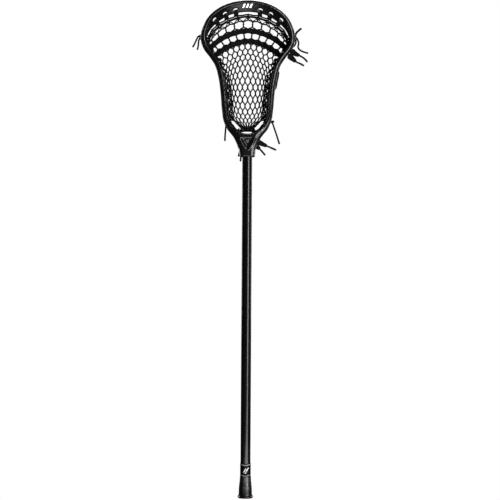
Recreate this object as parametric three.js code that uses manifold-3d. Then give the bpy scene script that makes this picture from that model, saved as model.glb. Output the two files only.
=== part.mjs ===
// A men's field lacrosse stick: a moulded nylon head screwed to a hollow alloy shaft, with a rubber
// cap on the butt and a strung mesh pocket. Millimetres, +Z up the shaft, -Y is the open ball side
// of the head, and the origin is the centre of the flat underside of the end cap.
import * as THREE from "three";
import { mergeVertices } from "three/addons/utils/BufferGeometryUtils.js";
import Module from "manifold-3d";

const wasm = await Module();
wasm.setup();

// ---------- Driving dimensions ----------
const STICK_LENGTH = 1016; // 40 inches, the shortest legal length of an attack stick
const GAP = 0.35; // clearance between touching pieces

const SHAFT = {
  halfWidth: 10.1, // across X
  halfDepth: 12.7, // across Y
  frontFlat: 4.6, // half width of the facet that faces Y
  sideFlat: 6.6, // half width of the facet that faces X
  crown: 0.6, // how far the middle of each facet stands out past its corners
  wall: 1.2,
  bottom: 5,
  top: 738,
};
const CAP = { height: 44, plugTop: 30 };
// The cap's outline from its foot up: height, and how much wider it is than the shaft on each side.
const CAP_PROFILE = [
  [0, 4.3], [0.9, 5.3], [2, 5.6], [3.4, 5.2], [4.6, 4.2], [6, 3.6], [8.4, 3.4], [18, 3.1], [24, 2.7],
  [34, 1.6], [44, 1.1],
];
const DECAL = { bottom: 45.6, top: 70.6, thickness: 0.3 };
// The throat from its lower end up: height, half width, and depth of its front and its back.
const THROAT_LEVELS = [
  [698, 15.2, 17.6, 17.4], [712, 16.6, 17.8, 17.6], [722, 20.2, 18.6, 18], [730, 23.4, 19.2, 18.4],
  [738, 27.4, 19.2, 19], [746, 33.6, 18, 20], [753, 39.6, 16.4, 21.4], [760, 43.6, 14.8, 22.8],
];
const BOWL = { halfWidth: 36.5, height: 33, centre: 774.5 };
const SCREW = {
  z: 729,
  headRadius: 3.9,
  headHeight: 2.3,
  socketRadius: 1.6,
  socketFloor: 0.9, // what is left of the head under its socket
  shankRadius: 2,
  tip: -7.5,
  seat: -15.2,
};
const WINDOWS = [ // sidewall openings: lower end, upper end, along Z
  { from: 781, to: 818 },
  { from: 826, to: 866 },
  { from: 874, to: 906 },
];
const WINDOW_SHAPE = { lean: 7, corner: 6, frontBand: 14, backBand: 11.5 };
const SIDE_HOLES = { first: 767, last: 941, count: 10, radius: 2.2 };
const SCOOP_HOLES = {
  halfLength: 5.4,
  halfWidth: 2.9,
  places: [[25.6, 14.2], [47.3, 14], [68.6, 11.2]], // distance from the middle, inset from the outline
};
const ACROSS_HEAD = 220; // length of a cutter that goes through both sidewalls
const STRING_RADIUS = 1.5;
const LACE = { width: 11.4, thickness: 2.2, tailWidth: 8.4, tailThickness: 2.4 };
const AGLET_RADIUS = 1.9;
const POCKET_THICKNESS = 1.5;
const BALL_STOP_PAD = { thickness: 2.6, halfAngle: 0.8, widthSteps: [-13, -6, 1, 8, 15] };
const MESH_HALF_COLUMNS = 5; // the netting is ten diamonds wide
const [FIRST_ROW, LAST_ROW] = [-1, 21]; // its rows of diamonds, from the scoop to the throat
const EDGE_CLEARANCE = 5.9; // between the netting's edge and the back rail
const GATHER_DEPTH_SHARE = 0.8; // a gathered edge also moves back by this share

// Right half of the head's outline in front view, from the scoop's tip to under the ball stop.
const OUTLINE = [
  [0, STICK_LENGTH], [26.8, 1013.2], [50, 1005.8], [69.9, 993.8], [83.2, 980.3], [92.2, 964.2], [96.8, 947.5],
  [95.9, 933], [89.6, 918], [76.6, 901], [66.2, 883.5], [59.2, 857], [55.2, 828], [52.7, 797], [49.2, 772],
  [43.8, 759.4], [35.4, 747.3], [20.6, 738.6], [0, 736],
];
// Side view of the head: the front and back edges of the wall over Z, and how far the back edge
// lies inside the outline.
const FRONT_EDGE = [
  [738, -17], [765, -13], [800, -6.5], [850, -1], [900, 2], [940, 1], [975, -4], [1016, -15.5],
];
const BACK_EDGE = [
  [738, 19], [765, 25], [800, 34], [850, 41], [900, 44], [940, 41], [975, 30], [1016, 9],
];
const BACK_INSET = [
  [738, 7.5], [755, 10.5], [785, 14], [850, 14], [900, 11.5], [935, 9.5], [965, 13], [990, 18], [1016, 20],
];
const RIM_WIDTH = [[738, 8], [900, 9.5], [950, 8.5], [990, 5.5], [1016, 4.5]];

// The pocket at chosen rows of diamonds: row number, height and depth of the row's middle, spacing
// of the diamonds there, height of the row's two ends, and how far they are pulled in off the rail.
const POCKET_ROWS = [
  [-1, 988.4, 13, 21.4, 946.5, 0],
  [1, 985, 30, 20.1, 935, 0],
  [3, 962.7, 44, 17.7, 919, 0],
  [5, 942, 52, 13.6, 902.5, 0],
  [7, 920.4, 58, 10.9, 886.5, 0],
  [9, 899.9, 64, 11.1, 872, 0],
  [13, 848.5, 75, 11.3, 841, 0],
  [17, 796.2, 74, 10.5, 803, 0],
  [19, 777.1, 60, 8.4, 774, 0],
  [21, 759, 33, 2.6, 747, 12],
];

// ---------- Curves ----------
const v3 = (x, y, z) => new THREE.Vector3(x, y, z);
const lerp = THREE.MathUtils.lerp;

// A smooth cubic through rows of numbers, from their first column to the chosen one, flat beyond the ends.
function profile(pairs, column = 1) {
  return (x) => {
    const n = pairs.length;
    if (x <= pairs[0][0]) return pairs[0][column];
    if (x >= pairs[n - 1][0]) return pairs[n - 1][column];
    const i = pairs.findIndex((p) => p[0] > x) - 1;
    const slope = (k) => {
      const a = Math.max(k - 1, 0);
      const b = Math.min(k + 1, n - 1);
      return (pairs[b][column] - pairs[a][column]) / (pairs[b][0] - pairs[a][0]);
    };
    const h = pairs[i + 1][0] - pairs[i][0];
    const t = (x - pairs[i][0]) / h;
    const [y0, y1] = [pairs[i][column], pairs[i + 1][column]];
    const [m0, m1] = [slope(i) * h, slope(i + 1) * h];
    const t2 = t * t;
    const t3 = t2 * t;
    return (2 * t3 - 3 * t2 + 1) * y0 + (t3 - 2 * t2 + t) * m0 + (3 * t2 - 2 * t3) * y1 + (t3 - t2) * m1;
  };
}

const frontEdge = profile(FRONT_EDGE);
const backEdge = profile(BACK_EDGE);
const backInset = profile(BACK_INSET);
const rimWidth = profile(RIM_WIDTH);

// Closed outline of the head, clockwise seen from the front, starting at the scoop's tip.
const outline = new THREE.CatmullRomCurve3(
  [
    ...OUTLINE.map(([x, z]) => v3(x, 0, z)),
    ...OUTLINE.slice(1, -1).reverse().map(([x, z]) => v3(-x, 0, z)),
  ],
  true,
  "centripetal",
);

// The point of the outline at a share of its length, with the unit normal that points outwards.
function outlineAt(share) {
  const point = outline.getPointAt(share % 1);
  const tangent = outline.getTangentAt(share % 1);
  return { point, outward: v3(-tangent.z, 0, tangent.x) };
}

// Share of the outline's length at which its right side reaches height z.
function shareAtHeight(z) {
  let [low, high] = [0, 0.5];
  for (let i = 0; i < 40; i++) {
    const middle = (low + high) / 2;
    if (outline.getPointAt(middle).z > z) low = middle;
    else high = middle;
  }
  return (low + high) / 2;
}

// A point set in from the outline's right side by `inset`, beyond the back edge, at depth y.
function besideBackEdge(share, inset, behind = 4) {
  const { point, outward } = outlineAt(share);
  const depth = backEdge(point.z) - behind;
  return point.clone().addScaledVector(outward, -(backInset(point.z) + inset)).setY(depth);
}

// ---------- Solids ----------
function geometryFrom(vertices, triangles) {
  const numbers = vertices.flatMap((p) => p.toArray());
  const geometry = new THREE.BufferGeometry();
  geometry.setAttribute("position", new THREE.Float32BufferAttribute(numbers, 3));
  geometry.setIndex(triangles);
  return geometry;
}

function toSolid(geometry) {
  const bare = geometry.clone();
  bare.deleteAttribute("normal");
  bare.deleteAttribute("uv");
  const merged = mergeVertices(bare, 1e-4);
  return new wasm.Manifold(
    new wasm.Mesh({
      numProp: 3,
      vertProperties: merged.attributes.position.array,
      triVerts: new Uint32Array(merged.index.array),
    }),
  );
}

function toGeometry(solid) {
  const mesh = solid.getMesh();
  const geometry = new THREE.BufferGeometry();
  geometry.setAttribute("position", new THREE.BufferAttribute(mesh.vertProperties, 3));
  geometry.setIndex(new THREE.BufferAttribute(mesh.triVerts, 1));
  return geometry.toNonIndexed();
}

// Skin over rings of points that all have the same count. An open skin gets a fan on each end.
function loft(rings, closed = false) {
  const count = rings[0].length;
  const vertices = rings.flat();
  const triangles = [];
  const spans = closed ? rings.length : rings.length - 1;
  for (let i = 0; i < spans; i++) {
    const [a, b] = [i * count, ((i + 1) % rings.length) * count];
    for (let k = 0; k < count; k++) {
      const next = (k + 1) % count;
      triangles.push(a + k, a + next, b + next, a + k, b + next, b + k);
    }
  }
  if (!closed) {
    [[0, 1], [rings.length - 1, -1]].forEach(([i, side]) => {
      const centre = rings[i].reduce((sum, p) => sum.add(p), v3(0, 0, 0)).divideScalar(count);
      const middle = vertices.push(centre) - 1;
      for (let k = 0; k < count; k++) {
        const [p, q] = [i * count + k, i * count + ((k + 1) % count)];
        triangles.push(...(side > 0 ? [middle, q, p] : [middle, p, q]));
      }
    });
  }
  return facingOut(geometryFrom(vertices, triangles));
}

// Reverses a closed skin that was wound inwards.
function facingOut(geometry) {
  const solid = toSolid(geometry);
  if (solid.volume() >= 0) return geometry;
  const index = Array.from(geometry.index.array);
  for (let i = 0; i < index.length; i += 3) [index[i + 1], index[i + 2]] = [index[i + 2], index[i + 1]];
  geometry.setIndex(index);
  return geometry;
}

// A plate over a grid of points, `thickness` thick along each point's own offset direction.
function plate(grid, offsets, thickness) {
  const rings = grid.map((row, i) => {
    const back = row.map((p, k) => p.clone().addScaledVector(offsets[i][k], thickness));
    return [...row, ...back.reverse()];
  });
  const half = grid[0].length;
  const count = half * 2;
  const vertices = rings.flat();
  const triangles = [];
  for (let i = 0; i + 1 < rings.length; i++) {
    for (let k = 0; k < count; k++) {
      const next = (k + 1) % count;
      const [a, b] = [i * count, (i + 1) * count];
      triangles.push(a + k, a + next, b + next, a + k, b + next, b + k);
    }
  }
  [0, rings.length - 1].forEach((i) => {
    for (let k = 0; k + 1 < half; k++) {
      const [p, q] = [i * count + k, i * count + k + 1];
      const [s, r] = [i * count + count - 1 - k, i * count + count - 2 - k];
      triangles.push(...(i === 0 ? [p, r, q, p, s, r] : [p, q, r, p, r, s]));
    }
  });
  return facingOut(geometryFrom(vertices, triangles));
}

function circleShape(radius, sides = 8) {
  const points = Array.from({ length: sides }, (_, k) => {
    const angle = (2 * Math.PI * k) / sides;
    return new THREE.Vector2(radius * Math.cos(angle), radius * Math.sin(angle));
  });
  return new THREE.Shape(points);
}

// Polygon whose corners are rounded off over `radius`.
function roundedShape(corners, radius) {
  const points = corners.map((c) => new THREE.Vector2(...c));
  const shape = new THREE.Shape();
  points.forEach((corner, i) => {
    const before = points[(i + points.length - 1) % points.length];
    const after = points[(i + 1) % points.length];
    const start = before.clone().sub(corner).setLength(radius).add(corner);
    const end = after.clone().sub(corner).setLength(radius).add(corner);
    if (i === 0) shape.moveTo(start.x, start.y);
    else shape.lineTo(start.x, start.y);
    shape.quadraticCurveTo(corner.x, corner.y, end.x, end.y);
  });
  return shape;
}

// A round cord along a smooth line through the given points.
function cord(points, radius, steps, sides = 8) {
  const path = new THREE.CatmullRomCurve3(points.map((p) => v3(...p)), false, "centripetal");
  const settings = { steps, extrudePath: path, bevelEnabled: false };
  return new THREE.ExtrudeGeometry(circleShape(radius, sides), settings);
}

// A peg along Y, used as a cutter or a screw shank.
function pegAlongY(radius, from, to, x, z, sides = 16) {
  const geometry = new THREE.CylinderGeometry(radius, radius, to - from, sides);
  return geometry.translate(x, (from + to) / 2, z);
}

// Outline points in front view turned into a prism along Y.
function prismAlongY(points, from, to) {
  const shape = new THREE.Shape(points.map(([x, z]) => new THREE.Vector2(x, z)));
  const geometry = new THREE.ExtrudeGeometry(shape, { depth: to - from, bevelEnabled: false });
  return geometry.rotateX(Math.PI / 2).translate(0, to, 0);
}

// ---------- Shaft ----------
// Octagonal outline with slightly crowned facets, grown outwards by `grow`.
function shaftOutline(grow = 0, perFacet = 4) {
  const { frontFlat: f, sideFlat: s, crown } = SHAFT;
  const [w, d] = [SHAFT.halfWidth - crown, SHAFT.halfDepth - crown];
  const corners = [[f, -d], [w, -s], [w, s], [f, d], [-f, d], [-w, s], [-w, -s], [-f, -d]];
  return corners.flatMap(([x0, y0], i) => {
    const [x1, y1] = corners[(i + 1) % corners.length];
    const length = Math.hypot(x1 - x0, y1 - y0);
    const [nx, ny] = [(y1 - y0) / length, -(x1 - x0) / length];
    return Array.from({ length: perFacet }, (_, k) => {
      const t = (k + 0.5) / perFacet;
      const out = grow + crown * Math.sin(Math.PI * t);
      return new THREE.Vector2(lerp(x0, x1, t) + nx * out, lerp(y0, y1, t) + ny * out);
    });
  });
}

function shaftPrism(grow, from, to) {
  const shape = new THREE.Shape(shaftOutline(grow));
  return new THREE.ExtrudeGeometry(shape, { depth: to - from, bevelEnabled: false }).translate(0, 0, from);
}

function makeShaft() {
  const shape = new THREE.Shape(shaftOutline());
  shape.holes.push(new THREE.Path(shaftOutline(-SHAFT.wall).reverse()));
  const tube = new THREE.ExtrudeGeometry(shape, { depth: SHAFT.top - SHAFT.bottom, bevelEnabled: false });
  const screwHole = pegAlongY(SCREW.shankRadius + GAP, -SHAFT.halfDepth - 2, 0, 0, SCREW.z);
  return toGeometry(toSolid(tube.translate(0, 0, SHAFT.bottom)).subtract(toSolid(screwHole)));
}

// Thin printed film wrapped round the shaft just above the cap.
function makeDecal() {
  const { bottom, top, thickness } = DECAL;
  const outer = toSolid(shaftPrism(GAP + thickness, bottom, top));
  return toGeometry(outer.subtract(toSolid(shaftPrism(GAP, bottom - 1, top + 1))));
}

// ---------- End cap ----------
// Flared rubber cap with a skirt over the shaft's end and a plug inside it.
function makeEndCap() {
  const base = shaftOutline();
  const rings = CAP_PROFILE.map(([z, extra]) => {
    const scaleX = 1 + extra / SHAFT.halfWidth;
    const scaleY = 1 + extra / SHAFT.halfDepth;
    return base.map((p) => v3(p.x * scaleX, p.y * scaleY, z));
  });
  const slot = toSolid(shaftPrism(GAP, SHAFT.bottom - GAP, CAP.height + 1)).subtract(
    toSolid(shaftPrism(-SHAFT.wall - GAP, 0, CAP.plugTop)),
  );
  return toGeometry(toSolid(loft(rings)).subtract(slot));
}

// ---------- Head ----------
// Cross-section of the head's wall at one station, as [distance out from the outline, depth].
function wallSection(z) {
  const front = frontEdge(z);
  const back = backEdge(z);
  const rim = rimWidth(z);
  const inset = backInset(z);
  const scoopShare = THREE.MathUtils.smoothstep(z, 950, 1005);
  const chamfer = lerp(6, 3, scoopShare);
  const rail = lerp(6, 5, scoopShare);
  const web = lerp(3, 0, scoopShare);
  return [
    [-rim, front],
    [-0.45 * rim, front],
    [0, front + chamfer],
    [-1.2, front + chamfer + 5],
    [-1.2 - web, front + chamfer + 7],
    [-(inset - rail) - 0.6 * web, back - 9.5],
    [-(inset - rail), back - 7.5],
    [-(inset - rail), back - 1],
    [-(inset - rail) - 1, back],
    [-inset, back],
    [-inset, back - 7],
    [-rim - 0.5, front + lerp(8, 1.5, scoopShare)],
  ];
}

function headRing(stations = 132) {
  const rings = Array.from({ length: stations }, (_, i) => {
    const { point, outward } = outlineAt(i / stations);
    return wallSection(point.z).map(([n, y]) => point.clone().addScaledVector(outward, n).setY(y));
  });
  return toSolid(loft(rings, true));
}

// Solid block that carries the shaft's socket and flares into both sidewalls.
function throatBlock() {
  const rings = THROAT_LEVELS.map(([z, halfWidth, front, back]) => {
    const corner = Math.min(6.5, halfWidth * 0.42);
    const shoulder = Math.min(10.5, halfWidth * 0.43);
    const half = [
      [halfWidth - shoulder, -front], [halfWidth - 0.3 * shoulder, -front + 0.26 * shoulder],
      [halfWidth, -front + corner], [halfWidth, back - corner], [halfWidth - corner, back],
    ];
    const mirrored = half.map(([x, y]) => [-x, y]).reverse();
    return [...half, ...mirrored].map(([x, y]) => v3(x, y, z));
  });
  return toSolid(loft(rings));
}

// Round hollow above the ball stop, open towards the pocket.
function ballStopBowl() {
  const { halfWidth, height, centre } = BOWL;
  const bowl = new THREE.CylinderGeometry(1, 1, 80, 48).scale(halfWidth, 1, height).translate(0, 0, centre);
  return toSolid(bowl);
}

// Triangular recess around the screw, in two steps.
function throatRecess() {
  const shallow = [[-13.6, 732], [-2, 711.5], [2, 711.5], [13.6, 732], [10, 735.5], [-10, 735.5]];
  const deep = [[-10.4, 732.5], [-1.2, 716.5], [1.2, 716.5], [10.4, 732.5], [8.4, 734], [-8.4, 734]];
  return [prismAlongY(shallow, -25, -17.2), prismAlongY(deep, -25, SCREW.seat)].map(toSolid);
}

// Sidewall windows: rounded openings between the two rails, cut through both sides along X.
function windowCutter({ from, to }) {
  const { lean, corner, frontBand, backBand } = WINDOW_SHAPE;
  const shape = roundedShape(
    [
      [from, frontEdge(from) + frontBand],
      [to - lean, frontEdge(to) + frontBand],
      [to, backEdge(to) - backBand],
      [from + lean, backEdge(from) - backBand],
    ],
    corner,
  );
  const settings = { depth: ACROSS_HEAD, bevelEnabled: false, curveSegments: 3 };
  // The shape is drawn as (z, y) and extruded along its own third axis, which is turned to lie along X.
  return new THREE.ExtrudeGeometry(shape, settings).rotateY(-Math.PI / 2).translate(ACROSS_HEAD / 2, 0, 0);
}

function sideHoleCutters() {
  const { first, last, count, radius } = SIDE_HOLES;
  return Array.from({ length: count }, (_, i) => {
    const z = lerp(first, last, i / (count - 1));
    const peg = new THREE.CylinderGeometry(radius, radius, ACROSS_HEAD, 8).rotateZ(Math.PI / 2);
    return toSolid(peg.translate(0, backEdge(z) - 4, z));
  });
}

function scoopHoleCutters() {
  const { places, halfLength, halfWidth } = SCOOP_HOLES;
  return places.flatMap(([x, inset]) => {
    const centreAt = (share) => {
      const { point, outward } = outlineAt(share);
      return point.addScaledVector(outward, -inset);
    };
    let share = 0;
    while (centreAt(share).x < x) share += 0.0005;
    const { outward } = outlineAt(share);
    const centre = centreAt(share);
    return [1, -1].map((side) => {
      const slope = side * Math.atan2(outward.x, outward.z);
      const oval = new THREE.CylinderGeometry(1, 1, 90, 12).scale(halfLength, 1, halfWidth);
      return toSolid(oval.rotateY(slope).translate(side * centre.x, 0, centre.z));
    });
  });
}

function makeHead() {
  const cutters = [
    ...throatRecess(),
    ...WINDOWS.map((window) => toSolid(windowCutter(window))),
    ...sideHoleCutters(),
    ...scoopHoleCutters(),
    toSolid(shaftPrism(GAP, THROAT_LEVELS[0][0] - 5, SHAFT.top + GAP)),
    toSolid(pegAlongY(SCREW.shankRadius + GAP, -30, 0, 0, SCREW.z)),
    ballStopBowl(),
  ];
  const body = headRing().add(throatBlock());
  return toGeometry(cutters.reduce((solid, cutter) => solid.subtract(cutter), body));
}

function makeScrew() {
  const { headHeight, headRadius, socketRadius, socketFloor, shankRadius, tip, z } = SCREW;
  const underside = SCREW.seat - GAP;
  const face = underside - headHeight;
  const head = toSolid(pegAlongY(headRadius, face, underside, 0, z, 24));
  const shank = toSolid(pegAlongY(shankRadius, underside - 0.5, tip, 0, z));
  const socket = toSolid(pegAlongY(socketRadius, face - 1, underside - socketFloor, 0, z, 6));
  return toGeometry(head.add(shank).subtract(socket));
}

// Foam strip stuck along the ball stop.
function makeBallStopPad() {
  const { thickness, halfAngle, widthSteps } = BALL_STOP_PAD;
  const stations = 17;
  const grid = [];
  const offsets = [];
  for (let i = 0; i < stations; i++) {
    const angle = lerp(-halfAngle, halfAngle, i / (stations - 1));
    const inward = v3(-Math.sin(angle) / BOWL.halfWidth, 0, Math.cos(angle) / BOWL.height).normalize();
    const floor = v3(BOWL.halfWidth * Math.sin(angle), 0, BOWL.centre - BOWL.height * Math.cos(angle));
    const foot = floor.addScaledVector(inward, GAP);
    grid.push(widthSteps.map((y) => foot.clone().setY(y)));
    offsets.push(widthSteps.map(() => inward));
  }
  return plate(grid, offsets, thickness);
}

// ---------- Pocket ----------
const rowHeight = profile(POCKET_ROWS, 1);
const rowDepth = profile(POCKET_ROWS, 2);
const rowSpacing = profile(POCKET_ROWS, 3);
const rowEndHeight = profile(POCKET_ROWS, 4);
const rowGather = profile(POCKET_ROWS, 5);

// A point of the netting, from its column (-5 to 5) and row.
function pocketPoint(column, row) {
  const share = shareAtHeight(rowEndHeight(row));
  const end = besideBackEdge(share, EDGE_CLEARANCE);
  end.x -= rowGather(row);
  end.y += GATHER_DEPTH_SHARE * rowGather(row);
  const t = column / MESH_HALF_COLUMNS;
  const reach = Math.abs(t);
  const centreSlope = (rowSpacing(row) * MESH_HALF_COLUMNS) / end.x;
  return v3(
    end.x * (centreSlope * t + (1 - centreSlope) * t ** 3),
    lerp(rowDepth(row), end.y, reach ** 2.4),
    lerp(rowHeight(row), end.z, reach ** 1.75),
  );
}

// Unit normal of the netting, pointing to the front.
function pocketNormal(column, row) {
  const step = 0.05;
  const across = pocketPoint(column + step, row).sub(pocketPoint(column - step, row));
  const lower = pocketPoint(column, Math.min(row + step, LAST_ROW));
  const down = lower.sub(pocketPoint(column, Math.max(row - step, FIRST_ROW)));
  const normal = across.cross(down).normalize();
  return normal.y > 0 ? normal.negate() : normal;
}

function makePocket() {
  const columns = [-5, -4.5, -4, -3.25, -2.5, -1.5, -0.5, 0.5, 1.5, 2.5, 3.25, 4, 4.5, 5];
  const rows = Array.from({ length: LAST_ROW - FIRST_ROW + 1 }, (_, i) => FIRST_ROW + i);
  const grid = rows.map((row) => columns.map((column) => pocketPoint(column, row)));
  const offsets = rows.map((row) => columns.map((column) => pocketNormal(column, row).negate()));
  return plate(grid, offsets, POCKET_THICKNESS);
}

const SHOOTER_LIFT = 1.3; // from the middle of the netting to the underside of the lace

// Flat lace laid across the netting on one row.
function makeShooter(row) {
  const stations = 25;
  const reach = 4.7;
  const grid = [];
  const offsets = [];
  for (let i = 0; i < stations; i++) {
    const column = lerp(-reach, reach, i / (stations - 1));
    const middle = pocketPoint(column, row);
    const normal = pocketNormal(column, row);
    const along = pocketPoint(column + 0.05, row).sub(pocketPoint(column - 0.05, row)).normalize();
    const across = along.cross(normal).normalize();
    const foot = middle.addScaledVector(normal, SHOOTER_LIFT);
    const shares = [-0.5, 0, 0.5];
    grid.push(shares.map((share) => foot.clone().addScaledVector(across, share * LACE.width)));
    offsets.push([normal, normal, normal]);
  }
  return plate(grid, offsets, LACE.thickness);
}

// Cord that ties the netting's side to the holes of one back rail.
function makeSidewallString(side) {
  const points = [];
  for (let z = 948; z >= 778; z -= 10) {
    const p = besideBackEdge(shareAtHeight(z), STRING_RADIUS + GAP);
    points.push([side * p.x, p.y, p.z]);
  }
  return cord(points, STRING_RADIUS, 40);
}

// Cord that hangs the netting's top edge from the scoop.
function makeTopString() {
  const points = [];
  for (let column = -4.8; column <= 4.81; column += 0.6) {
    const p = pocketPoint(column, FIRST_ROW);
    const { outward } = outlineAt(shareAtHeight(Math.min(p.z + 22, 1015.5)));
    p.addScaledVector(v3(Math.sign(column) * outward.x, 0, outward.z), STRING_RADIUS + 2 * GAP);
    points.push([p.x, p.y - 1, p.z]);
  }
  return cord(points, STRING_RADIUS, 44);
}

// Cord that gathers the netting's foot against the ball stop.
function makeBottomString() {
  const rightHalf = [[6, 28.6, 753.4], [14, 28, 750.8], [24, 27, 755.4], [31, 23.5, 764]];
  const leftHalf = rightHalf.map(([x, y, z]) => [-x, y, z]).reverse();
  return cord([...leftHalf, [0, 28.8, 754], ...rightHalf], STRING_RADIUS, 28);
}

// ---------- Loose ends ----------
// Knots that stop a string outside the sidewall, as centre and half sizes.
const KNOTS = {
  knot_upper_left: { at: [-97.7, 36, 947.6], size: [3.7, 3.6, 5.5] },
  knot_upper_right: { at: [97, 36, 949.5], size: [3, 3.2, 3.8] },
  knot_lower_right: { at: [49.8, 21, 771.4], size: [5.8, 2.6, 2.6] },
};
// Round string ends: each route runs from where it leaves the head or its knot to its tip.
const STRING_TAILS = {
  tail_upper_left_long: [
    [-102.3, 36.6, 949.1], [-105.8, 36.8, 943.7], [-109, 37, 936.8], [-111.9, 37, 930.9], [-114.5, 37, 926.6],
  ],
  tail_upper_left_short: [
    [-101.6, 38.4, 941.9], [-102.4, 38.8, 937.2], [-102.8, 39, 931.7], [-103.6, 39, 926.5],
    [-104.8, 39, 921.4],
  ],
  tail_upper_right_stub: [
    [99, 35, 954.6], [101, 34.8, 958], [104.3, 34.6, 961.2], [107.5, 34.4, 963.9], [110.6, 34.2, 966.5],
  ],
  tail_upper_right_long: [
    [100.9, 38.2, 946.7], [103.8, 39, 941.8], [105.3, 39.4, 935.7], [104, 39.6, 929], [106.5, 39.4, 923.5],
    [114, 38.8, 918.9], [125.2, 38.2, 915.4],
  ],
  tail_upper_right_loop: [
    [98.5, 32.6, 944.9], [99.3, 32.4, 939.8], [98.7, 32.4, 934.5], [95.9, 32.6, 929.9], [91.4, 33, 926.3],
  ],
  tail_lower_left: [
    [-43.4, 20.6, 767.3], [-44.4, 21, 760.7], [-45.1, 21.2, 752.6], [-45.9, 21.2, 742.5], [-46.3, 21, 731.4],
  ],
  tail_lower_right: [
    [52.2, 21.2, 767.2], [54.6, 21.4, 760.2], [58.7, 21.4, 748.6], [62.7, 21.2, 736.4], [66.2, 21, 725.3],
  ],
  tail_throat_left_long: [
    [-6.1, 21, 724.3], [-9.1, 21.6, 717.2], [-11.3, 21.8, 708.1], [-13, 21.8, 698.5], [-14.1, 21.6, 689.3],
  ],
  tail_throat_left_short: [
    [-9.7, 21, 731.4], [-12.3, 21.4, 724.3], [-14.4, 21.6, 716.2], [-16.2, 21.6, 708.1], [-18, 21.4, 699.6],
  ],
};
// Flat lace ends: each route, and the share of its length at which the aglet takes over.
const LACE_TAILS = {
  upper_right_inner: {
    route: [
      [89, 37.6, 922.2], [92.9, 38.6, 918.1], [99.8, 39.4, 913.7], [108.3, 39.8, 910.3], [116.7, 39.6, 904.8],
      [123.9, 39, 897.4],
    ],
    aglet: 0.53,
  },
  upper_right_outer: {
    route: [
      [84.4, 40.4, 912.6], [88.2, 41.4, 908.5], [93.7, 42, 903.5], [100.9, 42.4, 897.9], [109.2, 42.2, 894.1],
      [116.7, 41.6, 889.8],
    ],
    aglet: 0.56,
  },
  throat_upper: {
    route: [
      [13.6, 22.6, 733.5], [20.3, 23.4, 730.5], [27.3, 24, 727.3], [35.5, 24.4, 723.7], [43.6, 24.4, 720.3],
      [59.8, 24, 713.3],
    ],
    aglet: 0.62,
  },
  throat_lower: {
    route: [
      [8.5, 22.6, 728], [14.2, 23.4, 724.4], [20.3, 24, 719.8], [26.7, 24.4, 714.3], [31.8, 24.2, 708.7],
      [37.1, 23.8, 702.4],
    ],
    aglet: 0.6,
  },
};

// A flat lace, or its round aglet, over one stretch of a route.
function ribbon(route, from, to, widthAt, thickness, stations) {
  const path = new THREE.CatmullRomCurve3(route.map((p) => v3(...p)), false, "centripetal");
  const rings = Array.from({ length: stations }, (_, i) => {
    const share = lerp(from, to, i / (stations - 1));
    const along = path.getTangentAt(share);
    const across = v3(-along.z, 0, along.x).normalize();
    const through = along.clone().cross(across).normalize();
    return Array.from({ length: 8 }, (_, k) => {
      const angle = (2 * Math.PI * k) / 8;
      return path.getPointAt(share)
        .addScaledVector(across, (widthAt(share) / 2) * Math.cos(angle))
        .addScaledVector(through, (thickness / 2) * Math.sin(angle));
    });
  });
  return loft(rings);
}

// The lace is bunched where it comes through its hole and again inside the aglet's mouth.
function laceWidth(aglet) {
  const { smoothstep } = THREE.MathUtils;
  return (share) => {
    const openShare = smoothstep(share, -0.04, 0.12) * (1 - smoothstep(share, 0.8 * aglet, 1.05 * aglet));
    return lerp(LACE.tailThickness, LACE.tailWidth, openShare);
  };
}

// ---------- Assembly ----------
const finish = {
  nylon: new THREE.MeshStandardMaterial({ color: 0x1a1a1b, roughness: 0.42, metalness: 0 }),
  alloy: new THREE.MeshStandardMaterial({ color: 0x0c0c0d, roughness: 0.3, metalness: 0.6 }),
  rubber: new THREE.MeshStandardMaterial({ color: 0x161616, roughness: 0.7, metalness: 0 }),
  film: new THREE.MeshStandardMaterial({ color: 0x141416, roughness: 0.35, metalness: 0 }),
  steel: new THREE.MeshStandardMaterial({ color: 0x4a4a4c, roughness: 0.35, metalness: 1 }),
  foam: new THREE.MeshStandardMaterial({ color: 0x101010, roughness: 0.95, metalness: 0 }),
  mesh: new THREE.MeshStandardMaterial({ color: 0x0b0b0b, roughness: 0.6, metalness: 0 }),
  string: new THREE.MeshStandardMaterial({ color: 0x0d0d0d, roughness: 0.7, metalness: 0 }),
  aglet: new THREE.MeshStandardMaterial({ color: 0x090909, roughness: 0.3, metalness: 0 }),
};

const stick = new THREE.Group();

function add(name, geometry, material) {
  const mesh = new THREE.Mesh(geometry, material);
  mesh.name = name;
  stick.add(mesh);
}

add("head", makeHead(), finish.nylon);
add("shaft", makeShaft(), finish.alloy);
add("butt_decal", makeDecal(), finish.film);
add("end_cap", makeEndCap(), finish.rubber);
add("head_screw", makeScrew(), finish.steel);
add("ball_stop_pad", makeBallStopPad(), finish.foam);
add("mesh_pocket", makePocket(), finish.mesh);
add("top_string", makeTopString(), finish.string);
add("sidewall_string_left", makeSidewallString(-1), finish.string);
add("sidewall_string_right", makeSidewallString(1), finish.string);
add("bottom_string", makeBottomString(), finish.string);
add("shooting_string_upper", makeShooter(3), finish.string);
add("shooting_string_lower", makeShooter(5), finish.string);

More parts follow.
